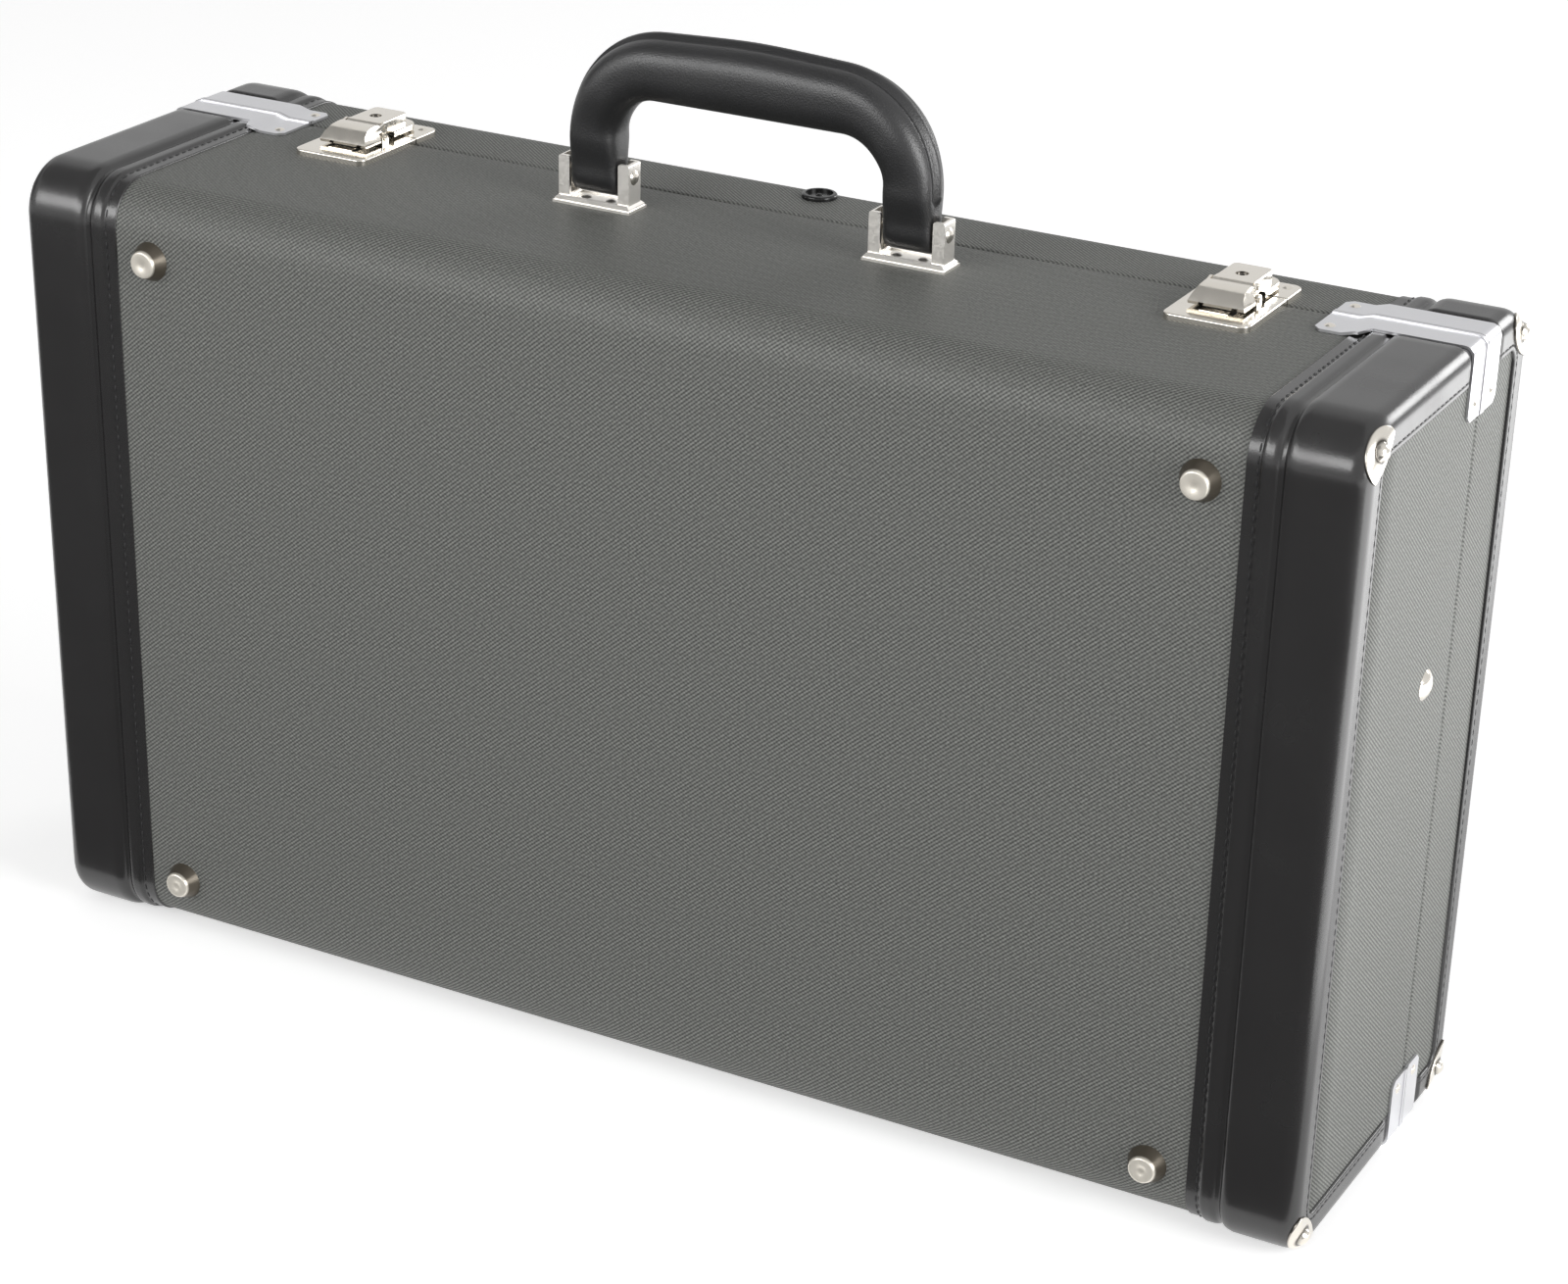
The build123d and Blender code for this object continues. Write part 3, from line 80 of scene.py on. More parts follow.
camera_data = bpy.data.cameras.new("camera")
camera_data.sensor_width = 36.0
camera_data.lens = FOCAL_PIXELS * camera_data.sensor_width / PICTURE[0]
camera_data.shift_x = (PICTURE[0] / 2 - PICTURE_CENTRE[0]) / PICTURE[0]
camera_data.shift_y = (PICTURE_CENTRE[1] - PICTURE[1] / 2) / PICTURE[0]
camera = add_object("camera", camera_data)
turn, dip, roll = (math.radians(angle) for angle in CAMERA_TURN)
camera.matrix_world = (
    Matrix.Translation(CAMERA_AT)
    @ Matrix.Rotation(turn, 4, "Z")
    @ Matrix.Rotation(dip, 4, "X")
    @ Matrix.Rotation(roll, 4, "Y")
    @ Matrix.Rotation(math.radians(90), 4, "X")
)
bpy.context.scene.camera = camera
bpy.context.scene.view_settings.view_transform = "Standard"

# The studio: a white floor that runs out of sight and a white surround. A wide soft lamp stands low
# in front on the left, a second lights the right end of the case, and one stands behind. Cards that
# only gloss sees shape the reflections.
FLOOR_HALF = 12.0
FLOOR_GLOW = 0.50
AMBIENT = 0.36
LAMPS_AIM = Vector((0.0, 0.0, 0.16))


def add_lamp(name, towards, distance, width, height, watts):
    """A rectangular lamp that faces the case from a direction, its width level."""
    data = bpy.data.lights.new(name, "AREA")
    data.shape = "RECTANGLE"
    data.size = width
    data.size_y = height
    data.energy = watts
    lamp = add_object(name, data)
    direction = Vector(towards).normalized()
    lamp.location = LAMPS_AIM + direction * distance
    lamp.rotation_euler = direction.to_track_quat("Z", "Y").to_euler()


add_lamp("lamp_front", (-0.42, -0.82, 0.39), 3.0, 2.4, 0.9, 36.0)
add_lamp("lamp_right", (0.94, -0.17, 0.30), 3.0, 1.3, 1.5, 57.0)
add_lamp("lamp_corner", (0.42, 0.86, 0.28), 3.2, 1.0, 0.9, 20.0)

world = bpy.data.worlds.new("surround")
bpy.context.scene.world = world
world.use_nodes = True
surround = world.node_tree
surround.nodes.clear()
world_out = surround.nodes.new("ShaderNodeOutputWorld")
background = surround.nodes.new("ShaderNodeBackground")
surround.links.new(background.outputs[0], world_out.inputs[0])
light_path = surround.nodes.new("ShaderNodeLightPath")


def add_math(tree, operation, first, second=0.0):
    """One Math node, with numbers or other nodes' outputs on its inputs."""
    node = tree.nodes.new("ShaderNodeMath")
    node.operation = operation
    for socket, value in zip(node.inputs, (first, second)):
        if isinstance(value, (int, float)):
            socket.default_value = value
        else:
            tree.links.new(value, socket)
    return node.outputs[0]


seen = add_math(surround, "MAXIMUM", light_path.outputs["Is Camera Ray"],
                light_path.outputs["Is Glossy Ray"])
seen = add_math(surround, "MAXIMUM", seen, light_path.outputs["Is Transmission Ray"])
surround.links.new(add_math(surround, "ADD", AMBIENT, add_math(surround, "MULTIPLY", seen, 1 - AMBIENT)),
                   background.inputs["Strength"])

floor_mesh = bpy.data.meshes.new("floor")
floor_mesh.from_pydata(
    [(x * FLOOR_HALF, y * FLOOR_HALF, 0) for x, y in ((-1, -1), (1, -1), (1, 1), (-1, 1))],
    [],
    [(0, 1, 2, 3)],
)
add_object("floor", floor_mesh)


def add_card(name, centre, normal, width, height, paint):
    """A card that only gloss sees. A grey or dark one dims what bright metal and black skin reflect,
    and a glowing one, which is no lamp, paints a bright reflection on them."""
    mesh = bpy.data.meshes.new(name)
    w, h = width / 2, height / 2
    place = Matrix.Translation(centre) @ Vector(normal).to_track_quat("Z", "Y").to_matrix().to_4x4()
    corners = [(-w, -h, 0), (w, -h, 0), (w, h, 0), (-w, h, 0)]
    mesh.from_pydata([tuple(place @ Vector(corner)) for corner in corners], [], [(0, 1, 2, 3)])
    mesh.materials.append(paint)
    card = add_object(name, mesh)
    card.visible_camera = False
    card.visible_diffuse = False
    card.visible_shadow = False


def new_material(name, colour, roughness, metallic=0.0):
    """A Principled material with its plain values on its own sockets."""
    material = bpy.data.materials.new(name)
    material.use_nodes = True
    shader = material.node_tree.nodes["Principled BSDF"]
    shader.inputs["Base Color"].default_value = (*colour, 1.0)
    shader.inputs["Roughness"].default_value = roughness
    shader.inputs["Metallic"].default_value = metallic
    return material, material.node_tree, shader


floor_paint, floor_tree, floor_shader = new_material("white paper", (0.93, 0.93, 0.93), 0.9)
floor_path = floor_tree.nodes.new("ShaderNodeLightPath")
floor_shader.inputs["Emission Color"].default_value = (1.0, 1.0, 1.0, 1.0)
floor_seen = add_math(floor_tree, "MAXIMUM", floor_path.outputs["Is Camera Ray"],
                      floor_path.outputs["Is Glossy Ray"])
floor_tree.links.new(add_math(floor_tree, "MULTIPLY", floor_seen, FLOOR_GLOW),
                     floor_shader.inputs["Emission Strength"])
floor_mesh.materials.append(floor_paint)
grey_card = new_material("grey card", (0.45, 0.45, 0.45), 0.9)[0]
dark_card = new_material("dark card", (0.22, 0.22, 0.22), 0.9)[0]
# This card glows though it is no lamp. Only gloss sees it, so it paints a bright reflection on the case's
# right end.
glowing_card, tree, shader = new_material("glowing card", (0.9, 0.9, 0.9), 0.9)
shader.inputs["Emission Color"].default_value = (1, 1, 1, 1)
shader.inputs["Emission Strength"].default_value = 2.6
add_card("card_above", (-0.85, -0.45, 2.2), (0.35, 0.25, -0.88), 3.0, 2.2, grey_card)
add_card("card_left", (-2.4, 0.25, 0.8), (1.0, -0.1, -0.2), 1.6, 1.2, dark_card)
add_card("card_low", (-0.5, -1.09, 0.004), (0.0, 0.0, 1.0), 3.0, 1.98, dark_card)
add_card("card_right", (1.05, 0.62, 0.004), (0.0, 0.0, 1.0), 1.2, 1.64, glowing_card)

# The boards are thin plywood, lined with black cloth on the inside. Only their rims and linings
# show, and only while the lid is open.
MM = 0.001


def add_bump(tree, shader, height, distance, strength=1.0):
    """Bump on a shader's normal. The distance is its depth in metres."""
    bump = tree.nodes.new("ShaderNodeBump")
    bump.inputs["Distance"].default_value = distance
    bump.inputs["Strength"].default_value = strength
    tree.links.new(height, bump.inputs["Height"])
    tree.links.new(bump.outputs["Normal"], shader.inputs["Normal"])


lining, lining_tree, lining_shader = new_material("black lining", (0.012, 0.012, 0.013), 0.85)
lining_shader.inputs["Sheen Weight"].default_value = 0.3
lining_place = lining_tree.nodes.new("ShaderNodeTexCoord")
lining_fuzz = lining_tree.nodes.new("ShaderNodeTexNoise")
lining_fuzz.inputs["Scale"].default_value = 900.0
lining_tree.links.new(lining_place.outputs["Object"], lining_fuzz.inputs["Vector"])
add_bump(lining_tree, lining_shader, lining_fuzz.outputs["Fac"], 0.3 * MM)


def paint(nodes, material):
    """Gives CAD nodes a material in place of their plain one."""
    for name in nodes:
        mesh = frame["nodes"][name].data
        mesh.materials.clear()
        mesh.materials.append(material)


BOARDS = [name for name in frame["nodes"] if name.endswith(("_wall", "_panel")) or name == "base_tongue"]
paint(BOARDS, lining)

# The covering is a grey woven cloth with fine diagonal ribs, glued round each half and turned over
# its rim. Round a half it is one sheet, worked out along the rounded section, and the flat ends are
# panels of the same cloth.
SEAM_GAP = 0.15 * MM
EDGE_R = 18.0 * MM
WALL = 6.95 * MM
TURN_IN = 1.9 * MM
TUCK, END_TUCK = 5.0 * MM, 3.0 * MM
FOLD_R = 0.6 * MM
RIM_R = 1.6 * MM
RIB_WAVE, RIB_HEIGHT = (487.0, -571.0), 0.27
THREAD_WAVE, THREAD_HEIGHT = (479.0, 626.0), 0.085
HINGE_SET_BACK = 2.2 * MM

front_low, front_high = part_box("base_cover")
lid_low, lid_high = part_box("lid_cover")
BOTTOM, TOP = front_low.z, front_high.z
SEAM = (front_high.y + lid_low.y) / 2
FACE = {"base": front_low.y, "lid": lid_high.y}
BOARD_END = front_high.x


def section_runs(half):
    """Lengths along a half's section: from the seam to its round edge, the edge itself, and the whole."""
    flat = abs(FACE[half] - SEAM) - EDGE_R
    return flat, math.pi / 2 * EDGE_R, 2 * flat + math.pi * EDGE_R + TOP - BOTTOM - 2 * EDGE_R


def along_section(half, s, offset=0.0):
    """Points at distances s along a half's section, from the seam over the top, the face and the bottom
    back to the seam. Each flat is a straight run, and each edge is a quarter circle. offset moves a
    point along the outward normal. Returns y and z."""
    outward = 1.0 if half == "lid" else -1.0
    flat, arc, _ = section_runs(half)
    tall = TOP - BOTTOM - 2 * EDGE_R
    ends = np.cumsum([flat, arc, tall, arc])
    first = np.clip((s - ends[0]) / EDGE_R, 0, math.pi / 2)
    second = np.clip((s - ends[2]) / EDGE_R, 0, math.pi / 2)
    angle = first + second
    normal_out = np.sin(angle)
    normal_up = np.cos(angle)
    reach = (np.minimum(s, flat) + EDGE_R * np.sin(first) - EDGE_R * (1 - np.cos(second))
             - np.maximum(s - ends[3], 0))
    drop = EDGE_R * (1 - np.cos(first)) + np.clip(s - ends[1], 0, tall) + EDGE_R * np.sin(second)
    y = SEAM + outward * (reach + offset * normal_out)
    z = TOP - drop + offset * normal_up
    return y, z


def grid_mesh(name, points, uv=None, wrap=False, flip=False):
    """A smooth mesh through a grid of points, rows by columns. wrap joins the last column to the first."""
    rows, columns = points.shape[:2]
    index = np.arange(rows * columns).reshape(rows, columns)
    if wrap:
        index = np.concatenate([index, index[:, :1]], axis=1)
    quads = np.stack([index[:-1, :-1], index[1:, :-1], index[1:, 1:], index[:-1, 1:]], axis=-1)
    quads = quads.reshape(-1, 4)
    if flip:
        quads = quads[:, ::-1]
    mesh = bpy.data.meshes.new(name)
    mesh.from_pydata(points.reshape(-1, 3).tolist(), [], quads.tolist())
    mesh.polygons.foreach_set("use_smooth", np.ones(len(quads), dtype=bool))
    if uv is not None:
        layer = mesh.uv_layers.new(name="cloth")
        layer.data.foreach_set("uv", uv.reshape(-1, 2)[quads.reshape(-1)].ravel())
    return add_object(name, mesh)


def twill_weave():
    """A group for the cloth's weave. Two waves cross on it: a strong cosine whose crests are the diagonal
    ribs, and a weaker one along them, where the threads dip under. Place is in metres on the cloth."""
    group = bpy.data.node_groups.new("twill weave", "ShaderNodeTree")
    group.interface.new_socket("Place", in_out="INPUT", socket_type="NodeSocketVector")
    group.interface.new_socket("Height", in_out="OUTPUT", socket_type="NodeSocketFloat")
    group.interface.new_socket("Wear", in_out="OUTPUT", socket_type="NodeSocketFloat")
    inside = group.nodes.new("NodeGroupInput")
    outside = group.nodes.new("NodeGroupOutput")
    split = group.nodes.new("ShaderNodeSeparateXYZ")
    group.links.new(inside.outputs["Place"], split.inputs[0])
    height = 0.5
    for (along_x, along_z), strength in (RIB_WAVE, RIB_HEIGHT), (THREAD_WAVE, THREAD_HEIGHT):
        turns = add_math(group, "ADD",
                         add_math(group, "MULTIPLY", split.outputs["X"], 2 * math.pi * along_x),
                         add_math(group, "MULTIPLY", split.outputs["Y"], 2 * math.pi * along_z))
        wave = add_math(group, "MULTIPLY", add_math(group, "COSINE", turns), strength)
        height = add_math(group, "ADD", wave, height)
    group.links.new(height, outside.inputs["Height"])
    wear = group.nodes.new("ShaderNodeTexNoise")
    wear.inputs["Scale"].default_value = 900.0
    wear.inputs["Detail"].default_value = 3.0
    group.links.new(inside.outputs["Place"], wear.inputs["Vector"])
    spread = add_math(group, "ADD", add_math(group, "MULTIPLY", wear.outputs["Fac"], 1.8), -0.4)
    group.links.new(spread, outside.inputs["Wear"])
    return group


TWILL_WEAVE = twill_weave()


def woven_cloth(name):
    """The grey cloth, its weave laid out by the sheet's own UV map in metres. Its colour follows the weave's
    height: partly the yarn's own tone, partly painted shade in the valleys and painted light on the crests.
    """
    material, tree, shader = new_material(name, (0.15, 0.15, 0.145), 0.6)
    source = tree.nodes.new("ShaderNodeTexCoord")
    ribs = tree.nodes.new("ShaderNodeGroup")
    ribs.node_tree = TWILL_WEAVE
    tree.links.new(source.outputs["UV"], ribs.inputs["Place"])
    # Painted shade in the weave's valleys and painted light on its crests, over the yarn's own tone.
    shade = tree.nodes.new("ShaderNodeValToRGB")
    shade.color_ramp.elements[0].position = 0.05
    shade.color_ramp.elements[0].color = (0.026, 0.027, 0.026, 1)
    shade.color_ramp.elements[1].position = 0.95
    shade.color_ramp.elements[1].color = (0.400, 0.409, 0.381, 1)
    tree.links.new(ribs.outputs["Height"], shade.inputs["Fac"])
    tint = tree.nodes.new("ShaderNodeMix")
    tint.data_type = "RGBA"
    tint.blend_type = "MULTIPLY"
    tint.inputs["Factor"].default_value = 0.6
    tree.links.new(shade.outputs["Color"], tint.inputs["A"])
    tree.links.new(ribs.outputs["Wear"], tint.inputs["B"])
    tree.links.new(tint.outputs["Result"], shader.inputs["Base Color"])
    add_bump(tree, shader, ribs.outputs["Height"], 0.12 * MM, 0.7)
    return material


cloth = woven_cloth("woven covering")


def rise(t):
    """A quarter circle, from 0 at t = 0 to 1 at t = 1."""
    t = np.clip(t, 0.0, 1.0)
    return np.sqrt(1 - (1 - t) ** 2)


def spaced(stops, steps):
    """One array of numbers through the stops, with a number of steps between each two."""
    runs = [np.linspace(a, b, n, endpoint=False) for a, b, n in zip(stops[:-1], stops[1:], steps)]
    return np.concatenate([*runs, stops[-1:]])


def covering(half):
    """A sheet along the section. At both seams it rolls over the rim by a quarter circle and tucks in."""
    flat, arc, length = section_runs(half)
    last = length - HINGE_SET_BACK
    stops = [SEAM_GAP, SEAM_GAP + RIM_R, flat, flat + arc, length - flat - arc, length - flat,
             last - RIM_R, last]
    s = spaced(stops, [6, 12, 14, 40, 14, 12, 6])
    fall = RIM_R * (rise((s - SEAM_GAP) / RIM_R) * rise((last - s) / RIM_R) - 1)
    s = np.concatenate([[TUCK, SEAM_GAP + FOLD_R, SEAM_GAP, SEAM_GAP], s, [last, last, last - TUCK]])
    fall = np.concatenate([[-WALL, -WALL, FOLD_R - WALL, -TURN_IN], fall, [-TURN_IN, -WALL, -WALL]])
    x = np.linspace(-BOARD_END + 0.1 * MM, BOARD_END - 0.1 * MM, 80)
    s_grid, x_grid = np.meshgrid(s, x, indexing="ij")
    offset = np.broadcast_to(fall[:, None], s_grid.shape)
    y, z = along_section(half, s_grid, offset)
    cloth_s = np.concatenate([[0], np.cumsum(np.hypot(np.diff(s), np.diff(fall)))])
    uv = np.stack([x_grid, -np.broadcast_to(cloth_s[:, None], s_grid.shape)], axis=-1)
    points = np.stack([x_grid, y, z], axis=-1)
    piece = grid_mesh(half + "_woven_sheet", points, uv=uv, flip=(half == "lid"))
    piece.data.materials.append(cloth)
    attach(piece, half)
    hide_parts(half + "_cover")


def end_panels(half):
    """The cloth on the two flat ends: a plane that rolls in by a quarter circle at the seam."""
    low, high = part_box(half + "_end_covers")
    seam, outer = (high.y, low.y) if half == "base" else (low.y, high.y)
    reach = spaced(np.array([0.0, RIM_R, abs(outer - seam)]), [8, 6])
    fall = RIM_R * (1 - rise(reach / RIM_R))
    reach = np.concatenate([[END_TUCK, 0.0], reach, [abs(outer - seam)]])
    fall = np.concatenate([[TURN_IN, TURN_IN], fall, [TURN_IN]])
    y = seam + (reach if half == "lid" else -reach)
    z = np.linspace(low.z, high.z, 60)
    y_grid, z_grid = np.meshgrid(y, z, indexing="ij")
    for end_name, side in (("left", -1), ("right", 1)):
        x_grid = np.broadcast_to(side * (high.x - fall)[:, None], y_grid.shape)
        uv = np.stack([-side * y_grid, z_grid], axis=-1)
        flip = (half == "lid") == (side > 0)
        points = np.stack([x_grid, y_grid, z_grid], axis=-1)
        panel = grid_mesh(f"{half}_{end_name}_end_sheet", points, uv=uv, flip=flip)
        panel.data.materials.append(cloth)
        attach(panel, half)
        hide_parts(half + "_end_covers")


for half in ("base", "lid"):
    covering(half)
    end_panels(half)

# The end bands are black leatherette over soft padding. Each is sewn along its inner edge, has a
# narrow strip, a groove and a wide soft pad, and turns over the end as a sewn binding.
CASE_END = BOARD_END + 2.0 * MM
BAND_W = 44.0 * MM
TAPE_H, TAPE_SEWN = 0.7 * MM, 39.6 * MM
STRIP = (38.9 * MM, 31.8 * MM, 1.7 * MM)
PAD = (30.4 * MM, 2.95 * MM)
BAND_LOW = 0.7 * MM
END_R = 7.0 * MM
BINDING_W = 12.0 * MM
BINDING_SEWN = 9.6 * MM
UNDER_CLAMP = 1.40 * MM
PRESSED_R, PRESSED_IN, PRESSED_FROM = 2.87 * MM, 1.13 * MM, 4.0 * MM
CLAMP_W, CLAMP_FADE = 14.6 * MM, 3.0 * MM
ROLL_R = 1.5 * MM
OFF_SEAM, OFF_HINGE = 0.1 * MM, 2.8 * MM


def band_profile():
    """The band's cross-section: distance in from the end and height over the cloth.
    Tape, strip and pad are flat tops with quarter-round sides, the corner is a quarter circle,
    and the binding lies on the end, with a shallow dip along its seam.
    The second pair of arrays is the same section pressed down by a clamp."""
    side = spaced(np.array([44.0, 43.2, 40.3, 38.9, 36.6, 34.8, 31.8, 30.4, 28.4, 25.4, 22.0, 7.0]) * MM,
                  [5, 2, 8, 7, 2, 8, 3, 8, 6, 3, 8])
    sewn = 1 - 0.6 * np.exp(-((side - TAPE_SEWN) / (0.4 * MM)) ** 2)
    tape = TAPE_H * rise((BAND_W - side) / (0.7 * MM)) * sewn
    strip = STRIP[2] * rise((STRIP[0] - side) / (2.3 * MM)) * rise((side - STRIP[1]) / (3.0 * MM))
    pad = PAD[1] * rise((PAD[0] - side) / (5.0 * MM))
    height = np.maximum(np.maximum(np.where(side > STRIP[1], tape, 0), strip), pad)
    low_part = (side < 43.9 * MM) & (side > PAD[0] - 3 * MM)
    height = np.where(low_part, np.maximum(height, BAND_LOW), height)
    turn = np.linspace(0, math.pi / 2, 12)[1:]
    turn_in = END_R * (1 - np.sin(turn))
    turn_high = PAD[1] - END_R * (1 - np.cos(turn))
    across = spaced(np.array([-5.0, -8.8, -10.4, -11.2, -12.0]) * MM, [4, 8, 2, 5])
    dip = 0.2 * MM * np.exp(-((-across - BINDING_SEWN) / (0.35 * MM)) ** 2)
    edge = 1.15 * MM * (1 - rise((across + BINDING_W) / (0.9 * MM)))
    inward = np.concatenate([side, turn_in, dip + edge])
    high = np.concatenate([height, turn_high, across])
    widened = PAD[0] - (PAD[0] - side) * (PAD[0] - PRESSED_FROM) / (PAD[0] - END_R)
    pressed_side = np.where(side < PAD[0], widened, side)
    pressed_turn = PRESSED_IN + PRESSED_R * (1 - np.sin(turn))
    pressed_in = np.concatenate([pressed_side, pressed_turn, PRESSED_IN + 0.3 * dip])
    pressed_down = UNDER_CLAMP - PRESSED_R * (1 - np.cos(turn))
    pressed_high = np.concatenate([np.minimum(height, UNDER_CLAMP), pressed_down, across])
    return inward, high, pressed_in, pressed_high


def smooth_step(t):
    t = np.clip(t, 0.0, 1.0)
    return t * t * (3 - 2 * t)


def band_ends(half):
    """Where a band starts and stops along the section: just off the seam, and short of the hinges."""
    return SEAM_GAP + OFF_SEAM, section_runs(half)[2] - OFF_HINGE


def band_points(half, side, s, columns=None):
    """The band's surface at distances s along the section. Near a seam it is pressed flat under the
    clamp, and at the seam itself it rolls down to the cloth. Slow ripples make the padding uneven."""
    inward, high, pressed_in, pressed_high = band_profile()
    if columns is not None:
        inward, high, pressed_in, pressed_high = (
            row[columns] for row in (inward, high, pressed_in, pressed_high))
    first, last = band_ends(half)
    from_seam = np.minimum(s - first, last - s)[:, None]
    pressed = 1 - smooth_step((from_seam - CLAMP_W) / CLAMP_FADE)
    ripple = (np.sin(s / (9.3 * MM) + side) * np.sin(s / (23.0 * MM) + 1.3)
              + 0.5 * np.sin(s / (4.1 * MM) + 2.0 * side))
    sag = (0.10 * MM * (1 + 0.5 * ripple))[:, None] * smooth_step((high - 2.0 * MM) / (0.9 * MM))[None, :]
    inward = inward[None, :] * (1 - pressed) + pressed_in[None, :] * pressed
    high = (high[None, :] - sag) * (1 - pressed) + pressed_high[None, :] * pressed
    rolled = rise(from_seam / ROLL_R)
    on_end = inward < 2.0 * MM
    inward = np.where(on_end, 2.0 * MM + (inward - 2.0 * MM) * rolled, inward)
    high = np.where(high > 0, high * rolled, high)
    grid_s = np.broadcast_to(s[:, None], inward.shape)
    y, z = along_section(half, grid_s, high)
    return np.stack([side * (CASE_END - inward), y, z], axis=-1)


def pebbled_grain():
    """A group for leather grain: cells of two sizes with soft edges, in metres."""
    group = bpy.data.node_groups.new("pebbled grain", "ShaderNodeTree")
    group.interface.new_socket("Place", in_out="INPUT", socket_type="NodeSocketVector")
    group.interface.new_socket("Cells", in_out="INPUT", socket_type="NodeSocketFloat")
    group.interface.new_socket("Height", in_out="OUTPUT", socket_type="NodeSocketFloat")
    group.interface.new_socket("Shine", in_out="OUTPUT", socket_type="NodeSocketFloat")
    inside = group.nodes.new("NodeGroupInput")
    outside = group.nodes.new("NodeGroupOutput")
    cells = group.nodes.new("ShaderNodeTexVoronoi")
    group.links.new(inside.outputs["Place"], cells.inputs["Vector"])
    group.links.new(inside.outputs["Cells"], cells.inputs["Scale"])
    fine = group.nodes.new("ShaderNodeTexNoise")
    fine.inputs["Detail"].default_value = 4.0
    group.links.new(inside.outputs["Place"], fine.inputs["Vector"])
    group.links.new(add_math(group, "MULTIPLY", inside.outputs["Cells"], 1.7), fine.inputs["Scale"])
    joined = add_math(group, "ADD", cells.outputs["Distance"],
                      add_math(group, "MULTIPLY", fine.outputs["Fac"], 0.6))
    group.links.new(joined, outside.inputs["Height"])
    slow = group.nodes.new("ShaderNodeTexNoise")
    slow.inputs["Scale"].default_value = 28.0
    slow.inputs["Detail"].default_value = 3.0
    group.links.new(inside.outputs["Place"], slow.inputs["Vector"])
    group.links.new(slow.outputs["Fac"], outside.inputs["Shine"])
    return group


PEBBLED_GRAIN = pebbled_grain()


def grained(name, colour, rough_low, rough_high, cells, depth):
    """Black grained skin, its gloss a little uneven."""
    material, tree, shader = new_material(name, colour, 0.4)
    shader.inputs["Specular IOR Level"].default_value = 0.8
    source = tree.nodes.new("ShaderNodeTexCoord")
    grain = tree.nodes.new("ShaderNodeGroup")
    grain.node_tree = PEBBLED_GRAIN
    grain.inputs["Cells"].default_value = cells
    tree.links.new(source.outputs["Object"], grain.inputs["Place"])
    gloss = tree.nodes.new("ShaderNodeMapRange")
    gloss.inputs["From Min"].default_value = 0.3
    gloss.inputs["From Max"].default_value = 0.7
    gloss.inputs["To Min"].default_value = rough_low
    gloss.inputs["To Max"].default_value = rough_high
    tree.links.new(grain.outputs["Shine"], gloss.inputs["Value"])
    tree.links.new(gloss.outputs["Result"], shader.inputs["Roughness"])
    add_bump(tree, shader, grain.outputs["Height"], depth, 0.5)
    return material


leatherette = grained("black leatherette", (0.017, 0.0162, 0.0165), 0.20, 0.29, 1300.0, 0.03 * MM)
thread = new_material("black thread", (0.02, 0.02, 0.021), 0.5)[0]

for half in ("base", "lid"):
    flat, arc, length = section_runs(half)
    first, last = band_ends(half)
    stops = [first, first + ROLL_R, first + CLAMP_W, first + CLAMP_W + CLAMP_FADE, flat, flat + arc,
             length - flat - arc, length - flat, last - CLAMP_W - CLAMP_FADE, last - CLAMP_W,
             last - ROLL_R, last]
    s = spaced(stops, [6, 5, 6, 18, 18, 90, 18, 18, 6, 5, 6])
    for end_name, side in (("left", -1), ("right", 1)):
        points = band_points(half, side, s)
        flip = (half == "lid") != (side < 0)
        band = grid_mesh(f"{half}_{end_name}_padded_band", points, flip=flip)
        band.data.materials.append(leatherette)
        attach(band, half)
        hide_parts(f"{half}_{end_name}_band")

# Two rows of black thread hold each band: one beside the strip and one in the binding. A stitch
# is a short round-ended length of thread that sinks into the leatherette at both ends.
STITCH_PITCH = 4.2 * MM
STITCH_L = 3.1 * MM
STITCH_R = 0.4 * MM
STITCHES_FROM = 19.0 * MM


def stitch_row(half, side, column):
    """Points and directions of a row of stitches along one column of the band's profile."""
    middle = np.arange(STITCHES_FROM, section_runs(half)[2] - STITCHES_FROM, STITCH_PITCH)
    before = band_points(half, side, middle - 0.5 * STITCH_L, [column])[:, 0]
    after = band_points(half, side, middle + 0.5 * STITCH_L, [column])[:, 0]
    return (before + after) / 2, after - before


def capsule_rows(name, centres, runs, radius):
    """One mesh of many thin ellipsoids: circles of six points, their radius a half circle along each run."""
    rings = np.linspace(-0.5, 0.5, 7)
    around = np.linspace(0, 2 * math.pi, 6, endpoint=False)
    axis = runs / np.linalg.norm(runs, axis=1, keepdims=True)
    helper = np.where(np.abs(axis[:, :1]) < 0.9, [[1.0, 0.0, 0.0]], [[0.0, 0.0, 1.0]])
    across = np.cross(axis, helper)
    across /= np.linalg.norm(across, axis=1, keepdims=True)
    other = np.cross(axis, across)
    size = radius * np.sqrt(np.clip(1 - (2 * rings) ** 2, 0.02, 1))
    points = (
        centres[:, None, None, :]
        + rings[None, :, None, None] * runs[:, None, None, :]
        + size[None, :, None, None] * (np.cos(around)[None, None, :, None] * across[:, None, None, :]
                                       + np.sin(around)[None, None, :, None] * other[:, None, None, :])
    )
    count, ring_count, spokes = points.shape[:3]
    index = np.arange(count * ring_count * spokes).reshape(count, ring_count, spokes)
    index = np.concatenate([index, index[:, :, :1]], axis=2)
    quads = np.stack([index[:, :-1, :-1], index[:, :-1, 1:], index[:, 1:, 1:], index[:, 1:, :-1]], axis=-1)
    mesh = bpy.data.meshes.new(name)
    mesh.from_pydata(points.reshape(-1, 3).tolist(), [], quads.reshape(-1, 4).tolist())
    mesh.polygons.foreach_set("use_smooth", np.ones(len(mesh.polygons), dtype=bool))
    return add_object(name, mesh)


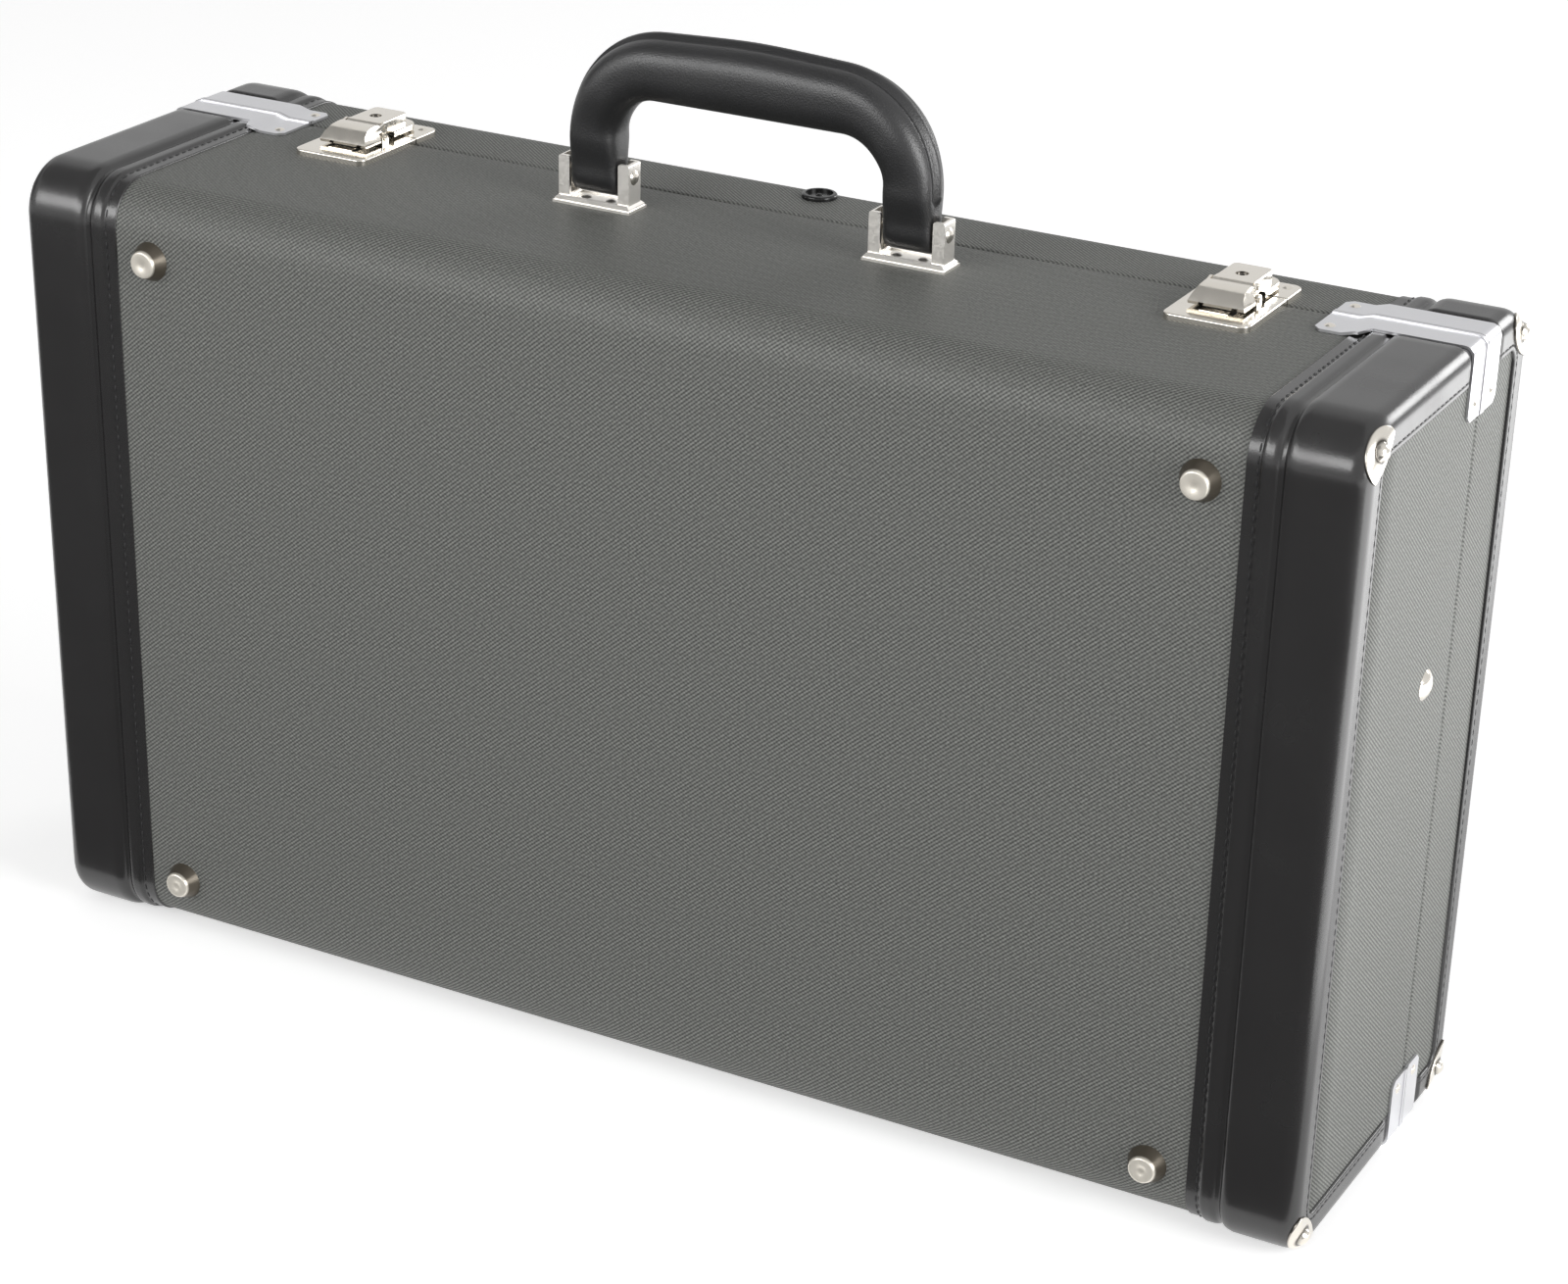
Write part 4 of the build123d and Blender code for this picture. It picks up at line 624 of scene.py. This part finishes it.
inward, high, _, _ = band_profile()
beside_strip = int(np.argmin(np.abs(inward - TAPE_SEWN)))
in_binding = int(np.argmin(np.abs(high + BINDING_SEWN)))
for half in ("base", "lid"):
    rows = [stitch_row(half, side, column) for side in (-1, 1) for column in (beside_strip, in_binding)]
    centres = np.concatenate([row[0] for row in rows])
    runs = np.concatenate([row[1] for row in rows])
    stitches = capsule_rows(half + "_band_stitches", centres, runs, STITCH_R)
    stitches.data.materials.append(thread)
    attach(stitches, half)

# The fittings are pressed and turned steel with bright nickel plate: latches, brackets, feet, hinges,
# clamps, rivets and nails. Fine polishing marks and handling make the gloss a little uneven.
NICKEL = (0.80, 0.76, 0.69)
DOUBLED = 0.002 * MM


def plated(name, colour, roughness, marks, stretch):
    """Bright metal. marks sets how much the gloss varies, and stretch draws the marks out along X."""
    material, tree, shader = new_material(name, colour, roughness, 1.0)
    source = tree.nodes.new("ShaderNodeTexCoord")
    scale = tree.nodes.new("ShaderNodeMapping")
    scale.inputs["Scale"].default_value = stretch
    tree.links.new(source.outputs["Object"], scale.inputs["Vector"])
    noise = tree.nodes.new("ShaderNodeTexNoise")
    noise.inputs["Scale"].default_value = 1.0
    noise.inputs["Detail"].default_value = 4.0
    tree.links.new(scale.outputs["Vector"], noise.inputs["Vector"])
    gloss = tree.nodes.new("ShaderNodeMapRange")
    gloss.inputs["From Min"].default_value = 0.35
    gloss.inputs["From Max"].default_value = 0.65
    gloss.inputs["To Min"].default_value = max(roughness - marks, 0.03)
    gloss.inputs["To Max"].default_value = roughness + marks
    tree.links.new(noise.outputs["Fac"], gloss.inputs["Value"])
    tree.links.new(gloss.outputs["Result"], shader.inputs["Roughness"])
    add_bump(tree, shader, noise.outputs["Fac"], 0.02 * MM, 0.25)
    return material


nickel = plated("bright nickel", NICKEL, 0.17, 0.06, (260, 260, 260))
cast_nickel = plated("cast nickel", (0.94, 0.91, 0.86), 0.38, 0.10, (1500, 1500, 1500))
satin = plated("satin sheet", (0.70, 0.70, 0.72), 0.34, 0.04, (60, 60, 60))


def foot_metal():
    """Pale cream nickel on a foot's tip, half diffuse so that it stays bright: a painted highlight. Dark
    bronze on its side. The height over the face sets which.
    """
    material, tree, shader = new_material("foot metal", NICKEL, 0.34, 0.55)
    place = tree.nodes.new("ShaderNodeTexCoord")
    split = tree.nodes.new("ShaderNodeSeparateXYZ")
    tree.links.new(place.outputs["Object"], split.inputs[0])
    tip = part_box("feet")[0].y
    tip_to_side = tree.nodes.new("ShaderNodeMapRange")
    tip_to_side.inputs["From Min"].default_value = tip + 0.4 * MM
    tip_to_side.inputs["From Max"].default_value = tip + 1.5 * MM
    tree.links.new(split.outputs["Y"], tip_to_side.inputs["Value"])
    mix = tree.nodes.new("ShaderNodeMix")
    mix.data_type = "RGBA"
    # Painted highlight: the tip's pale cream, half diffuse, stays bright whatever it reflects.
    mix.inputs["A"].default_value = (0.93, 0.88, 0.78, 1)
    mix.inputs["B"].default_value = (0.10, 0.086, 0.066, 1)
    tree.links.new(tip_to_side.outputs["Result"], mix.inputs["Factor"])
    tree.links.new(mix.outputs["Result"], shader.inputs["Base Color"])
    return material


# The lock plugs are near black all over: painted shade that stands for their dark keyholes.
keyhole_shade_metal = plated("metal with painted keyhole shade", (0.05, 0.045, 0.04), 0.4, 0.05, (260, 260, 260))
FINISHES = {
    "feet": foot_metal(),
    "base_rivets": cast_nickel,
    "lock_plug_left": keyhole_shade_metal,
    "lock_plug_right": keyhole_shade_metal,
    "handle_bracket_left": cast_nickel,
    "handle_bracket_right": cast_nickel,
}


def joined_copy(node, body, material, sharp=32.0):
    """A copy of a CAD node with its loose triangles joined, so that its round faces shade smoothly."""
    mesh = bpy.data.meshes.new(node + "_finished")
    work = bmesh.new()
    work.from_mesh(frame["nodes"][node].data)
    bmesh.ops.remove_doubles(work, verts=work.verts, dist=DOUBLED)
    bmesh.ops.dissolve_degenerate(work, edges=work.edges, dist=0.001 * MM)
    work.to_mesh(mesh)
    work.free()
    for carried in ("custom_normal", "sharp_edge", "sharp_face"):
        if carried in mesh.attributes:
            mesh.attributes.remove(mesh.attributes[carried])
    mesh.polygons.foreach_set("use_smooth", np.ones(len(mesh.polygons), dtype=bool))
    mesh.set_sharp_from_angle(angle=math.radians(sharp))
    mesh.materials.clear()
    mesh.materials.append(material)
    piece = add_object(node + "_finished", mesh)
    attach(piece, body)
    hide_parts(node)


def body_of(node):
    return frame["nodes"][node]["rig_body"]


NICKEL_STARTS = (
    "handle_bracket", "handle_pins", "handle_bushes", "latch_", "lock_plug", "claw_pin", "strike_",
    "feet", "hinge_", "base_rivets", "lid_rivets", "base_nails", "lid_nails", "stay_rivets",
)
for name in [name for name in frame["nodes"] if name.startswith(NICKEL_STARTS)]:
    joined_copy(name, body_of(name), FINISHES.get(name, nickel))
for name in ("base_clamps", "lid_clamps"):
    joined_copy(name, body_of(name), satin)
button_black = new_material("black button", (0.008, 0.008, 0.008), 0.25)[0]
joined_copy("lid_stud", "lid", button_black)

# A corner cap is a small pointed leaf of bright nickel, pressed over the padded corner towards the end,
# with a ball in its middle. Prongs under it hold it.
CAP_L, CAP_W, CAP_T = 23.0 * MM, 13.6 * MM, 0.8 * MM
CAP_FROM_FACE = {"left": 15.5 * MM, "right": 9.8 * MM}
BALL_R, BALL_SINK = 3.5 * MM, 0.5 * MM
CAP_UNDER = -0.3 * MM
CAP_STEPS, UNDER_STEPS = 61, 9


def close_up(piece):
    """Merges a grid's doubled points, fills its open rings and turns its faces outward."""
    work = bmesh.new()
    work.from_mesh(piece.data)
    bmesh.ops.remove_doubles(work, verts=work.verts, dist=DOUBLED)
    bmesh.ops.holes_fill(work, edges=[e for e in work.edges if e.is_boundary], sides=0)
    bmesh.ops.recalc_face_normals(work, faces=work.faces)
    work.to_mesh(piece.data)
    work.free()


def nickel_with_painted_shade():
    """Bright nickel with painted shade: dark in the crease round the ball and along the leaf's edge. An
    attribute on the mesh sets how dark.
    """
    material, tree, shader = new_material("nickel with painted shade", NICKEL, 0.2, 1.0)
    crease = tree.nodes.new("ShaderNodeAttribute")
    crease.attribute_name = "painted_shade"
    mix = tree.nodes.new("ShaderNodeMix")
    mix.data_type = "RGBA"
    mix.inputs["A"].default_value = (*NICKEL, 1)
    mix.inputs["B"].default_value = (0.035, 0.03, 0.025, 1)
    tree.links.new(crease.outputs["Fac"], mix.inputs["Factor"])
    tree.links.new(mix.outputs["Result"], shader.inputs["Base Color"])
    return material


shaded_nickel = nickel_with_painted_shade()


def corner_cap(half, side, level):
    """One leaf. It is bounded by two circular arcs, is level inside a round edge, and has a half ball in
    it. It lies on the corner: an angle runs round from the top to the face, and a distance runs from the
    face over the end's quarter circle and on along the end."""
    arc_r = (CAP_L ** 2 + CAP_W ** 2) / (4 * CAP_W)
    along = CAP_L / 2 * np.sin(np.linspace(-math.pi / 2, math.pi / 2, CAP_STEPS))[:, None]
    wide = np.sqrt(arc_r ** 2 - along ** 2) - (arc_r - CAP_W / 2)
    over = np.linspace(-1, 1, CAP_STEPS)[None, :]
    under = np.linspace(1, -1, UNDER_STEPS)[None, :]
    from_edge = (1 - np.abs(over)) * wide
    plate = CAP_T * rise(from_edge / (0.6 * MM))
    from_ball = np.hypot(along, over * wide)
    ball = np.sqrt(np.clip(BALL_R ** 2 - from_ball ** 2, 0, None)) - BALL_SINK
    # Painted shade in the crease round the ball's foot and along the leaf's edge, where it meets the band.
    painted_shade = np.exp(-((from_ball - BALL_R - 0.2 * MM) / (0.7 * MM)) ** 2)
    painted_shade = np.maximum(painted_shade, 0.9 * np.exp(-(from_edge / (0.35 * MM)) ** 2))
    underside = np.full((CAP_STEPS, UNDER_STEPS), CAP_UNDER)
    high = np.concatenate([np.maximum(plate, ball), underside], axis=1)
    across = CAP_FROM_FACE[side] + np.concatenate([over * wide, under * wide], axis=1)
    bend = np.clip(across / END_R, 0, math.pi / 2)
    flat = across - bend * END_R
    inner_r = EDGE_R + PAD[1] - END_R
    corner_r = inner_r + (END_R + high) * np.cos(bend) - flat
    round_corner = math.pi / 4 + along / (inner_r + 0.2 * END_R - 0.5 * flat)
    outward = 1.0 if half == "lid" else -1.0
    x = CASE_END - END_R + (END_R + high) * np.sin(bend)
    y = FACE[half] - outward * EDGE_R + outward * corner_r * np.sin(round_corner)
    z = TOP - EDGE_R + corner_r * np.cos(round_corner)
    points = np.stack([x if side == "right" else -x, y, z if level == "top" else TOP + BOTTOM - z], axis=-1)
    cap = grid_mesh(f"{half}_{side}_{level}_cap", points, wrap=True)
    dark = np.concatenate([painted_shade, np.zeros((CAP_STEPS, UNDER_STEPS))], axis=1)
    cap.data.attributes.new("painted_shade", "FLOAT", "POINT").data.foreach_set("value", dark.ravel())
    close_up(cap)
    cap.data.materials.append(shaded_nickel)
    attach(cap, half)
    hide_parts(half + "_corner_caps")


for half in ("base", "lid"):
    for side in ("left", "right"):
        corner_cap(half, side, "top")
        corner_cap(half, side, "bottom")

# The handle is a moulded black grip over a steel core: two straight legs, round shoulders, a
# slightly crowned top, and a raised welt with a groove on each side along its outside.
pin_low, pin_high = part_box("handle_pins")
PIN_Z = (pin_low.z + pin_high.z) / 2
HANDLE_Y = (pin_low.y + pin_high.y) / 2
LEG_OUT, LEG_IN = 77.2 * MM, 56.8 * MM
LUG_HALF, LEG_HALF, GRIP_HALF = 7.9 * MM, 10.1 * MM, 11.9 * MM
LEG_FOOT = 5.1 * MM
SHOULDER_R, THROAT_R = 41.0 * MM, 17.0 * MM
SHOULDER_Z, THROAT_Z = 28.4 * MM, 28.0 * MM
CROWN_Z, CROWN_SLOPE = 71.6 * MM, 0.0559
WELT_R, WELT_FROM = 1.5 * MM, 23.0 * MM


def arch_edges():
    """The arch's outer and inner edge from the left foot to the right, in x and height over the case.
    A leg is straight, a shoulder is a quarter circle, and the crown is a hyperbola as flat as its slope."""
    foot = LEG_FOOT + 8 * MM * (1 - np.cos(np.linspace(0, math.pi / 2, 9)))
    leg = np.concatenate([foot, np.linspace(15 * MM, 27 * MM, 12)])
    quarter = np.linspace(0, math.pi / 2, 28)
    outer_turn = quarter * (1 - CROWN_SLOPE * 2 / math.pi)
    outer_x = [np.full(len(leg), LEG_OUT), LEG_OUT - SHOULDER_R * (1 - np.cos(outer_turn))]
    outer_z = [leg, SHOULDER_Z + SHOULDER_R * np.sin(outer_turn)]
    inner_x = [np.full(len(leg), LEG_IN), LEG_IN - THROAT_R * (1 - np.cos(quarter))]
    inner_z = [leg, THROAT_Z + THROAT_R * np.sin(quarter)]
    left = np.linspace(1, 0, 24)[1:]
    outer_x.append(outer_x[1][-1] * left)
    crown = np.hypot(outer_x[2], 12 * MM)
    outer_z.append(CROWN_Z - CROWN_SLOPE * crown)
    inner_x.append(inner_x[1][-1] * left)
    inner_z.append(np.full(len(left), THROAT_Z + THROAT_R))
    edges = []
    for xs, zs in ((outer_x, outer_z), (inner_x, inner_z)):
        half = np.stack([-np.concatenate(xs), np.concatenate(zs)], axis=-1)
        edges.append(np.concatenate([half, (half * [-1, 1])[-2::-1]]))
    return edges


def handle_grip():
    """Rings between paired points of the outer and inner edge. A ring is a superellipse whose depth
    grows from the lug to the leg and to the arch, with the welt and its grooves on the outside."""
    outer, inner = arch_edges()
    centre = (outer + inner) / 2
    half = np.linalg.norm(outer - inner, axis=1) / 2
    away = (outer - inner) / (2 * half[:, None])
    height = centre[:, 1]
    pin = PIN_Z - TOP
    lug = np.sqrt(np.clip(LUG_HALF ** 2 - np.clip(pin - height, 0, None) ** 2, 1e-10, None))
    depth = lug + (LEG_HALF - LUG_HALF) * smooth_step((height - 15 * MM) / (14 * MM))
    depth = depth + (GRIP_HALF - LEG_HALF) * smooth_step((height - 30 * MM) / (18 * MM))
    power = 2 / (3.4 - 0.8 * smooth_step((height - 20 * MM) / (20 * MM)))[:, None]
    around = np.linspace(0, 2 * math.pi, 96, endpoint=False)
    cosine, sine = np.cos(around)[None, :], np.sin(around)[None, :]
    out = half[:, None] * np.sign(cosine) * np.abs(cosine) ** power
    deep = depth[:, None] * np.sign(sine) * np.abs(sine) ** power
    welt = smooth_step((height - WELT_FROM) / (3 * MM))[:, None] * (cosine > 0)
    out = out + welt * WELT_R * np.clip(1 - (deep / (2.3 * MM)) ** 2, 0, None) ** 0.5
    out = out - welt * 0.7 * MM * np.exp(-((np.abs(deep) - 3.1 * MM) / (0.8 * MM)) ** 2)
    x = centre[:, :1] + away[:, :1] * out
    z = TOP + centre[:, 1:] + away[:, 1:] * out
    return grid_mesh("handle_moulding", np.stack([x, HANDLE_Y + deep, z], axis=-1), wrap=True)


grip_skin = grained("black moulded grip", (0.013, 0.013, 0.014), 0.33, 0.42, 1700.0, 0.13 * MM)
grip = handle_grip()
close_up(grip)
grip.data.materials.append(grip_skin)
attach(grip, "handle")
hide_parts("handle_grip")

# The inside is black plush: a padded block shaped for the instrument, a pad in the lid and a
# drop-in cover. The block and the pad are cut from foam with soft edges, so both are rounded.
plush, plush_tree, plush_shader = new_material("black plush", (0.016, 0.016, 0.019), 0.95)
plush_shader.inputs["Sheen Weight"].default_value = 0.6
plush_shader.inputs["Sheen Roughness"].default_value = 0.4
plush_place = plush_tree.nodes.new("ShaderNodeTexCoord")
pile = plush_tree.nodes.new("ShaderNodeTexNoise")
pile.inputs["Scale"].default_value = 1100.0
pile.inputs["Detail"].default_value = 2.0
brushed = plush_tree.nodes.new("ShaderNodeTexNoise")
brushed.inputs["Scale"].default_value = 22.0
brushed.inputs["Detail"].default_value = 3.0
for texture in (pile, brushed):
    plush_tree.links.new(plush_place.outputs["Object"], texture.inputs["Vector"])
pile_shade = plush_tree.nodes.new("ShaderNodeValToRGB")
pile_shade.color_ramp.elements[0].color = (0.008, 0.008, 0.010, 1)
pile_shade.color_ramp.elements[1].color = (0.034, 0.034, 0.040, 1)
pile_mix = add_math(plush_tree, "ADD", add_math(plush_tree, "MULTIPLY", pile.outputs["Fac"], 0.5),
                    add_math(plush_tree, "MULTIPLY", brushed.outputs["Fac"], 0.5))
plush_tree.links.new(pile_mix, pile_shade.inputs["Fac"])
plush_tree.links.new(pile_shade.outputs["Color"], plush_shader.inputs["Base Color"])
add_bump(plush_tree, plush_shader, pile.outputs["Fac"], 0.6 * MM)


def crowned(points, drop, waves):
    """Points of a pad whose open face looks towards the front. That face falls back by drop times one less
    the product of one minus the fourth power of each distance from the middle, and waves by two sines."""
    low, high = points.min(axis=0), points.max(axis=0)
    share = 2 * (points - low) / (high - low) - 1
    opened = (1 - share[:, 1]) / 2
    full = (1 - share[:, 0] ** 4) * (1 - share[:, 2] ** 4)
    wave = np.sin(points[:, 0] * 37.0 + 1.0) * np.sin(points[:, 2] * 47.0 + 2.0)
    points[:, 1] += opened * (drop * (1 - full) + waves * (1 + wave) * full)
    return points


def rounded_foam(node, voxel, rounds, drop=0.0, waves=0.0):
    """A foam piece: the CAD solid as even voxels, then smoothed so that every edge turns soft."""
    mesh = frame["nodes"][node].data.copy()
    piece = add_object(node + "_plush", mesh)
    work = bmesh.new()
    work.from_mesh(mesh)
    bmesh.ops.remove_doubles(work, verts=work.verts, dist=DOUBLED)
    work.to_mesh(mesh)
    work.free()
    remesh = piece.modifiers.new("voxels", "REMESH")
    remesh.mode = "VOXEL"
    remesh.voxel_size = voxel
    remesh.use_smooth_shade = True
    soften = piece.modifiers.new("soften", "SMOOTH")
    soften.factor = 0.5
    soften.iterations = rounds
    evaluated = piece.evaluated_get(bpy.context.evaluated_depsgraph_get())
    baked = bpy.data.meshes.new_from_object(evaluated)
    piece.modifiers.clear()
    piece.data = baked
    if drop:
        flat = np.empty(3 * len(baked.vertices))
        baked.vertices.foreach_get("co", flat)
        baked.vertices.foreach_set("co", crowned(flat.reshape(-1, 3), drop, waves).ravel())
    baked.polygons.foreach_set("use_smooth", np.ones(len(baked.polygons), dtype=bool))
    baked.materials.clear()
    baked.materials.append(plush)
    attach(piece, body_of(node))
    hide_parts(node)


rounded_foam("foam_block", 3.0 * MM, 6)
rounded_foam("lid_pad", 3.2 * MM, 5, drop=2.4 * MM, waves=0.35 * MM)
paint(["accessory_cover"], plush)
